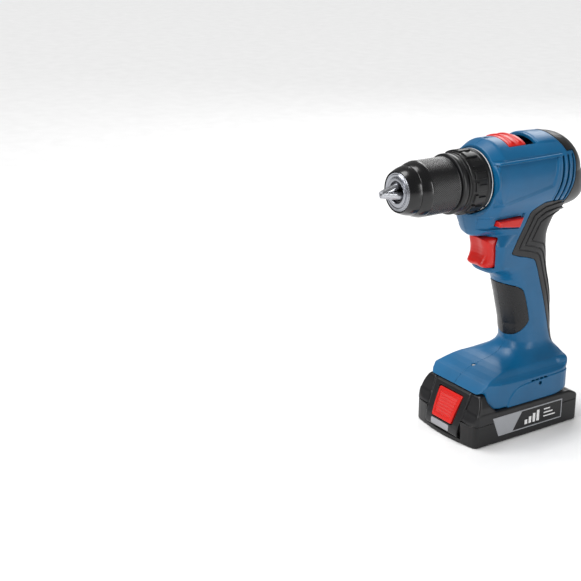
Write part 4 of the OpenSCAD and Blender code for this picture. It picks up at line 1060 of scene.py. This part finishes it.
def cover_field(x, y, z):
    """Battery cover: shoulders, bulged cheeks, the sloped latch panel and the rail block."""
    edge = SHOULDER_Z - 0.12 * np.maximum(0, y - 44) ** 1.5 + 0 * x
    d = smax(BATT_PLAN(x, y), z - edge, 2.2)
    d = smax(d, -y - np.interp(z, [10, 20, 26, 40], [58.8, 57.6, 55.2, 50.2]), 1.5)
    cheek = smax(CHEEK_SIDE(y, z), smax(CHEEK_FRONT(x, z), BATT_PLAN(x, y), 3.0), 2.0)
    groove = np.abs(np.abs(x) - np.interp(z, [5, 40], [20.5, 22.5]))
    cheek = cheek + 0.9 * np.exp(-(groove / 0.9) ** 2) * ease((-43 - y) / 3)
    d = smin(d, cheek, 1.2)
    panel = smax(PANEL_SIDE(y, z), np.abs(x) - np.interp(z, [5, 40], [20, 22]), 1.4)
    hole = latch_distance(x, y, z, 0.8)
    d = smin(d, panel, 0.6)
    block = brick(x, y, z, (-27, -45, 20), (27, 30, BLOCK_TOP), 1.0)
    for s in (-1, 1):
        rail = brick(x * s, y, z, (23.8, -34.4, SHOULDER_Z + 3.2), (40, 60, SHOULDER_Z + 7.4), 0.3)
        block = np.maximum(block, -rail)
    d = np.minimum(d, block)
    for middle in (-15, -5, 5, 15):
        slot = brick(x, y, z, (middle - 1, 20, SHOULDER_Z + 2), (middle + 1, 32, 60), 0.3)
        d = np.maximum(d, -slot)
    middle_part = np.maximum(np.abs(x) - np.interp(z, [0, 19], [19.5, 20.5]), y + 50)
    above_tray = TRAY_H + 0.08 - z + 0 * x
    d = np.maximum(d, np.minimum(above_tray, np.maximum(middle_part, 4.2 - z)))
    d = np.maximum(d, -hole)
    return d + label_recess(x, y, z)


def latch_frame(y, z):
    """Coordinates on the latch's slope: up the slope and out of it."""
    tilt = math.radians(66)
    y0, z0 = -56.35, 25.3
    up = (y - y0) * math.cos(tilt) + (z - z0) * math.sin(tilt)
    out = -(y - y0) * math.sin(tilt) + (z - z0) * math.cos(tilt)
    return up, out


def latch_distance(x, y, z, grow):
    """Distance to the latch button's outline prism, in front of the cells."""
    up, out = latch_frame(y, z)
    half = np.interp(up, [-12.5, 12.5], [12.1, 14.5]) + grow
    d = smax(np.abs(x) - half, np.abs(up) - 12.5 - grow, 1.6)
    return np.maximum(d, slab(out, -4.5, 20))


def latch_field(x, y, z):
    """Latch button: a rounded plate with a raised ribbed field."""
    up, out = latch_frame(y, z)
    half = np.interp(up, [-12.5, 12.5], [12.1, 14.5])
    face = 1.3 - 0.004 * up * up
    d = smax(np.abs(x) - half, np.abs(up) - 12.5, 1.6)
    ring = np.maximum(np.abs(x) - (half - 2.6), np.abs(up) - 9.6)
    pan = ease((0.35 - ring) / 0.5) * 0.55
    ribs = 0.55 * (0.5 + 0.5 * np.cos(2 * math.pi * up / 2.75)) ** 0.6 * ease((-0.8 - ring) / 0.5)
    top = out - face + pan - ribs
    return smax(smax(d, top, 0.8), -2.7 - out, 0.4)


def tray_field(x, y, z):
    """Battery tray: corner blocks either side of the sloped middle."""
    low_corner = smax(BATT_PLAN(x, y), z - TRAY_H + 0.08, 0.5)
    d = smax(low_corner, -z, 1.6)
    d = smax(d, (y - z) * 0.7071 - 57 * 0.7071 + 1.5, 1.0)
    front = np.maximum(np.abs(x) - np.interp(z, [0, 19], [22.2, 20.9]), slab(y, -70, -49))
    d = np.maximum(d, -np.maximum(front, 3.9 - z))
    chin = brick(x, y, z, (-22, -61.0 + 0.004 * x * x, 0), (22, -50, 3.9), 1.0)
    d = smin(d, chin, 0.3)
    inner = brick(x, y, z, (-35.6, -54.6, 2.2), (35.6, 54.6, 40), 2.0)
    d = np.maximum(d, -inner)
    return d + label_recess(x, y, z)


SILVER_PART = [(-39.1, 23.0), (-8.8, 23.0), (-19.0, 6.0), (-32.2, 6.0)]
DARK_PART = [(-7.6, 22.0), (36.6, 22.0), (36.6, 7.0), (-17.0, 7.0)]
SILVER_EDGE = [(-8.8, 23.0), (37.6, 23.0), (37.6, 6.0), (-19.0, 6.0)]


def film(name, material, outline, side, skin, thick):
    """A thin label on one side of the battery, cut to an outline."""
    points = np.array(outline, float)
    n = len(points)
    out, back = side * skin, side * (skin - thick)
    verts = [(out, y, z) for y, z in points] + [(back, y, z) for y, z in points]
    mesh = bpy.data.meshes.new(name)
    faces = [tuple(range(n)), tuple(range(2 * n - 1, n - 1, -1))]
    faces += [(i, i + n, (i + 1) % n + n, (i + 1) % n) for i in range(n)]
    mesh.from_pydata([Vector(v) * MM for v in verts], [], faces)
    mesh.validate()
    piece = bpy.data.objects.new(name, mesh)
    bpy.context.scene.collection.objects.link(piece)
    return finish_piece(piece, material, "battery")


def bar_outline(y0, z0, y1, z1):
    """Corners of an upright bar."""
    return [(y0, z1), (y1, z1), (y1, z0), (y0, z0)]


def make_labels():
    """Silver and black side labels with a row of plain charge bars."""
    for side, word in ((1, "left"), (-1, "right")):
        skin = BATT_W - 0.12
        pieces = [film(f"label_silver_{word}", LABEL_SILVER, SILVER_PART, side, skin, 0.15)]
        pieces.append(film(f"label_edge_{word}", LABEL_SILVER, SILVER_EDGE, side, skin, 0.15))
        pieces.append(film(f"label_dark_{word}", LABEL_DARK, DARK_PART, side, skin + 0.04, 0.15))
        for k in range(4):
            bar = bar_outline(-4 + 4.4 * k, 9.5, -1.2 + 4.4 * k, 13.5 + 1.9 * k)
            film(f"label_bar_{k}_{word}", WHITE_INK, bar, side, skin + 0.08, 0.1)
        for k in range(3):
            line = bar_outline(17, 11.2 + 3.2 * k, 30 - 3 * k, 12.3 + 3.2 * k)
            film(f"label_line_{k}_{word}", WHITE_INK, line, side, skin + 0.08, 0.1)
        if side > 0:
            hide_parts("battery_labels")


def sticker_field(x, y, z):
    """Pale film on the front panel under the latch."""
    cut = smax(slab(x, -12.5, 9.5), slab(z, 6.3, 11.8), 1.2)
    return np.maximum(np.maximum(cut, slab(PANEL_SIDE(y, z), -0.6, 0.15)), y + 55)


def make_battery():
    """Tray, cover, latch button, labels and the grey window under the latch."""
    tray = moulded("battery_base", tray_field, (-39.5, -63, -1), (39.5, 59, TRAY_H + 1.2), STEP)
    finish_piece(tray, TRAY_BLACK, "battery", ["battery_tray"])
    cover = moulded("battery_top", cover_field, (-39.5, -64, 3), (39.5, 59, BLOCK_TOP + 4), STEP)
    finish_piece(cover, COVER_GREY, "battery", ["battery_cover"])
    latch = moulded("latch_key", latch_field, (-17, -67, 8), (17, -45, 42), STEP * 0.5)
    finish_piece(latch, RED, "latch_button", ["latch_button"])
    sticker = moulded("front_film", sticker_field, (-14, -64, 5), (11, -54, 13), STEP * 0.5)
    finish_piece(sticker, PALE_GREY, "battery")
    make_labels()


# ---- CAD nodes that stay as they are ----

CAD_MATERIALS = {
    "black_plastic": BLACK, "dark_steel": DARK_STEEL, "steel": STEEL, "gear_steel": GEAR_STEEL,
    "laminations": LAMINATED, "copper": COPPER, "circuit_board": BOARD_GREEN,
    "spring_steel": SPRING_STEEL, "jaw_steel": JAW_STEEL, "clear_lens": LENS,
    "cell_wrap": CELL_WRAP, "cell_frame_plastic": IVORY, "blue_plastic": BLUE,
    "rubber": GRIP_RUBBER, "collar_plastic": COLLAR_BLACK, "bright_steel": BRIGHT_STEEL,
    "gloss_black": SLEEVE_BLACK, "red_plastic": RED, "battery_black": TRAY_BLACK,
    "battery_grey": COVER_GREY, "label_film": COVER_GREY,
}


def dress_cad():
    """Gives every carried-over CAD node its material."""
    for name, node in frame["nodes"].items():
        material = CAD_MATERIALS[slot_of[name]]
        if not node.material_slots:
            node.data.materials.append(material)
        for s in node.material_slots:
            s.material = material


make_camera()
make_studio()
dress_cad()
make_body()
make_chuck()
make_collar()
make_controls()
make_battery()
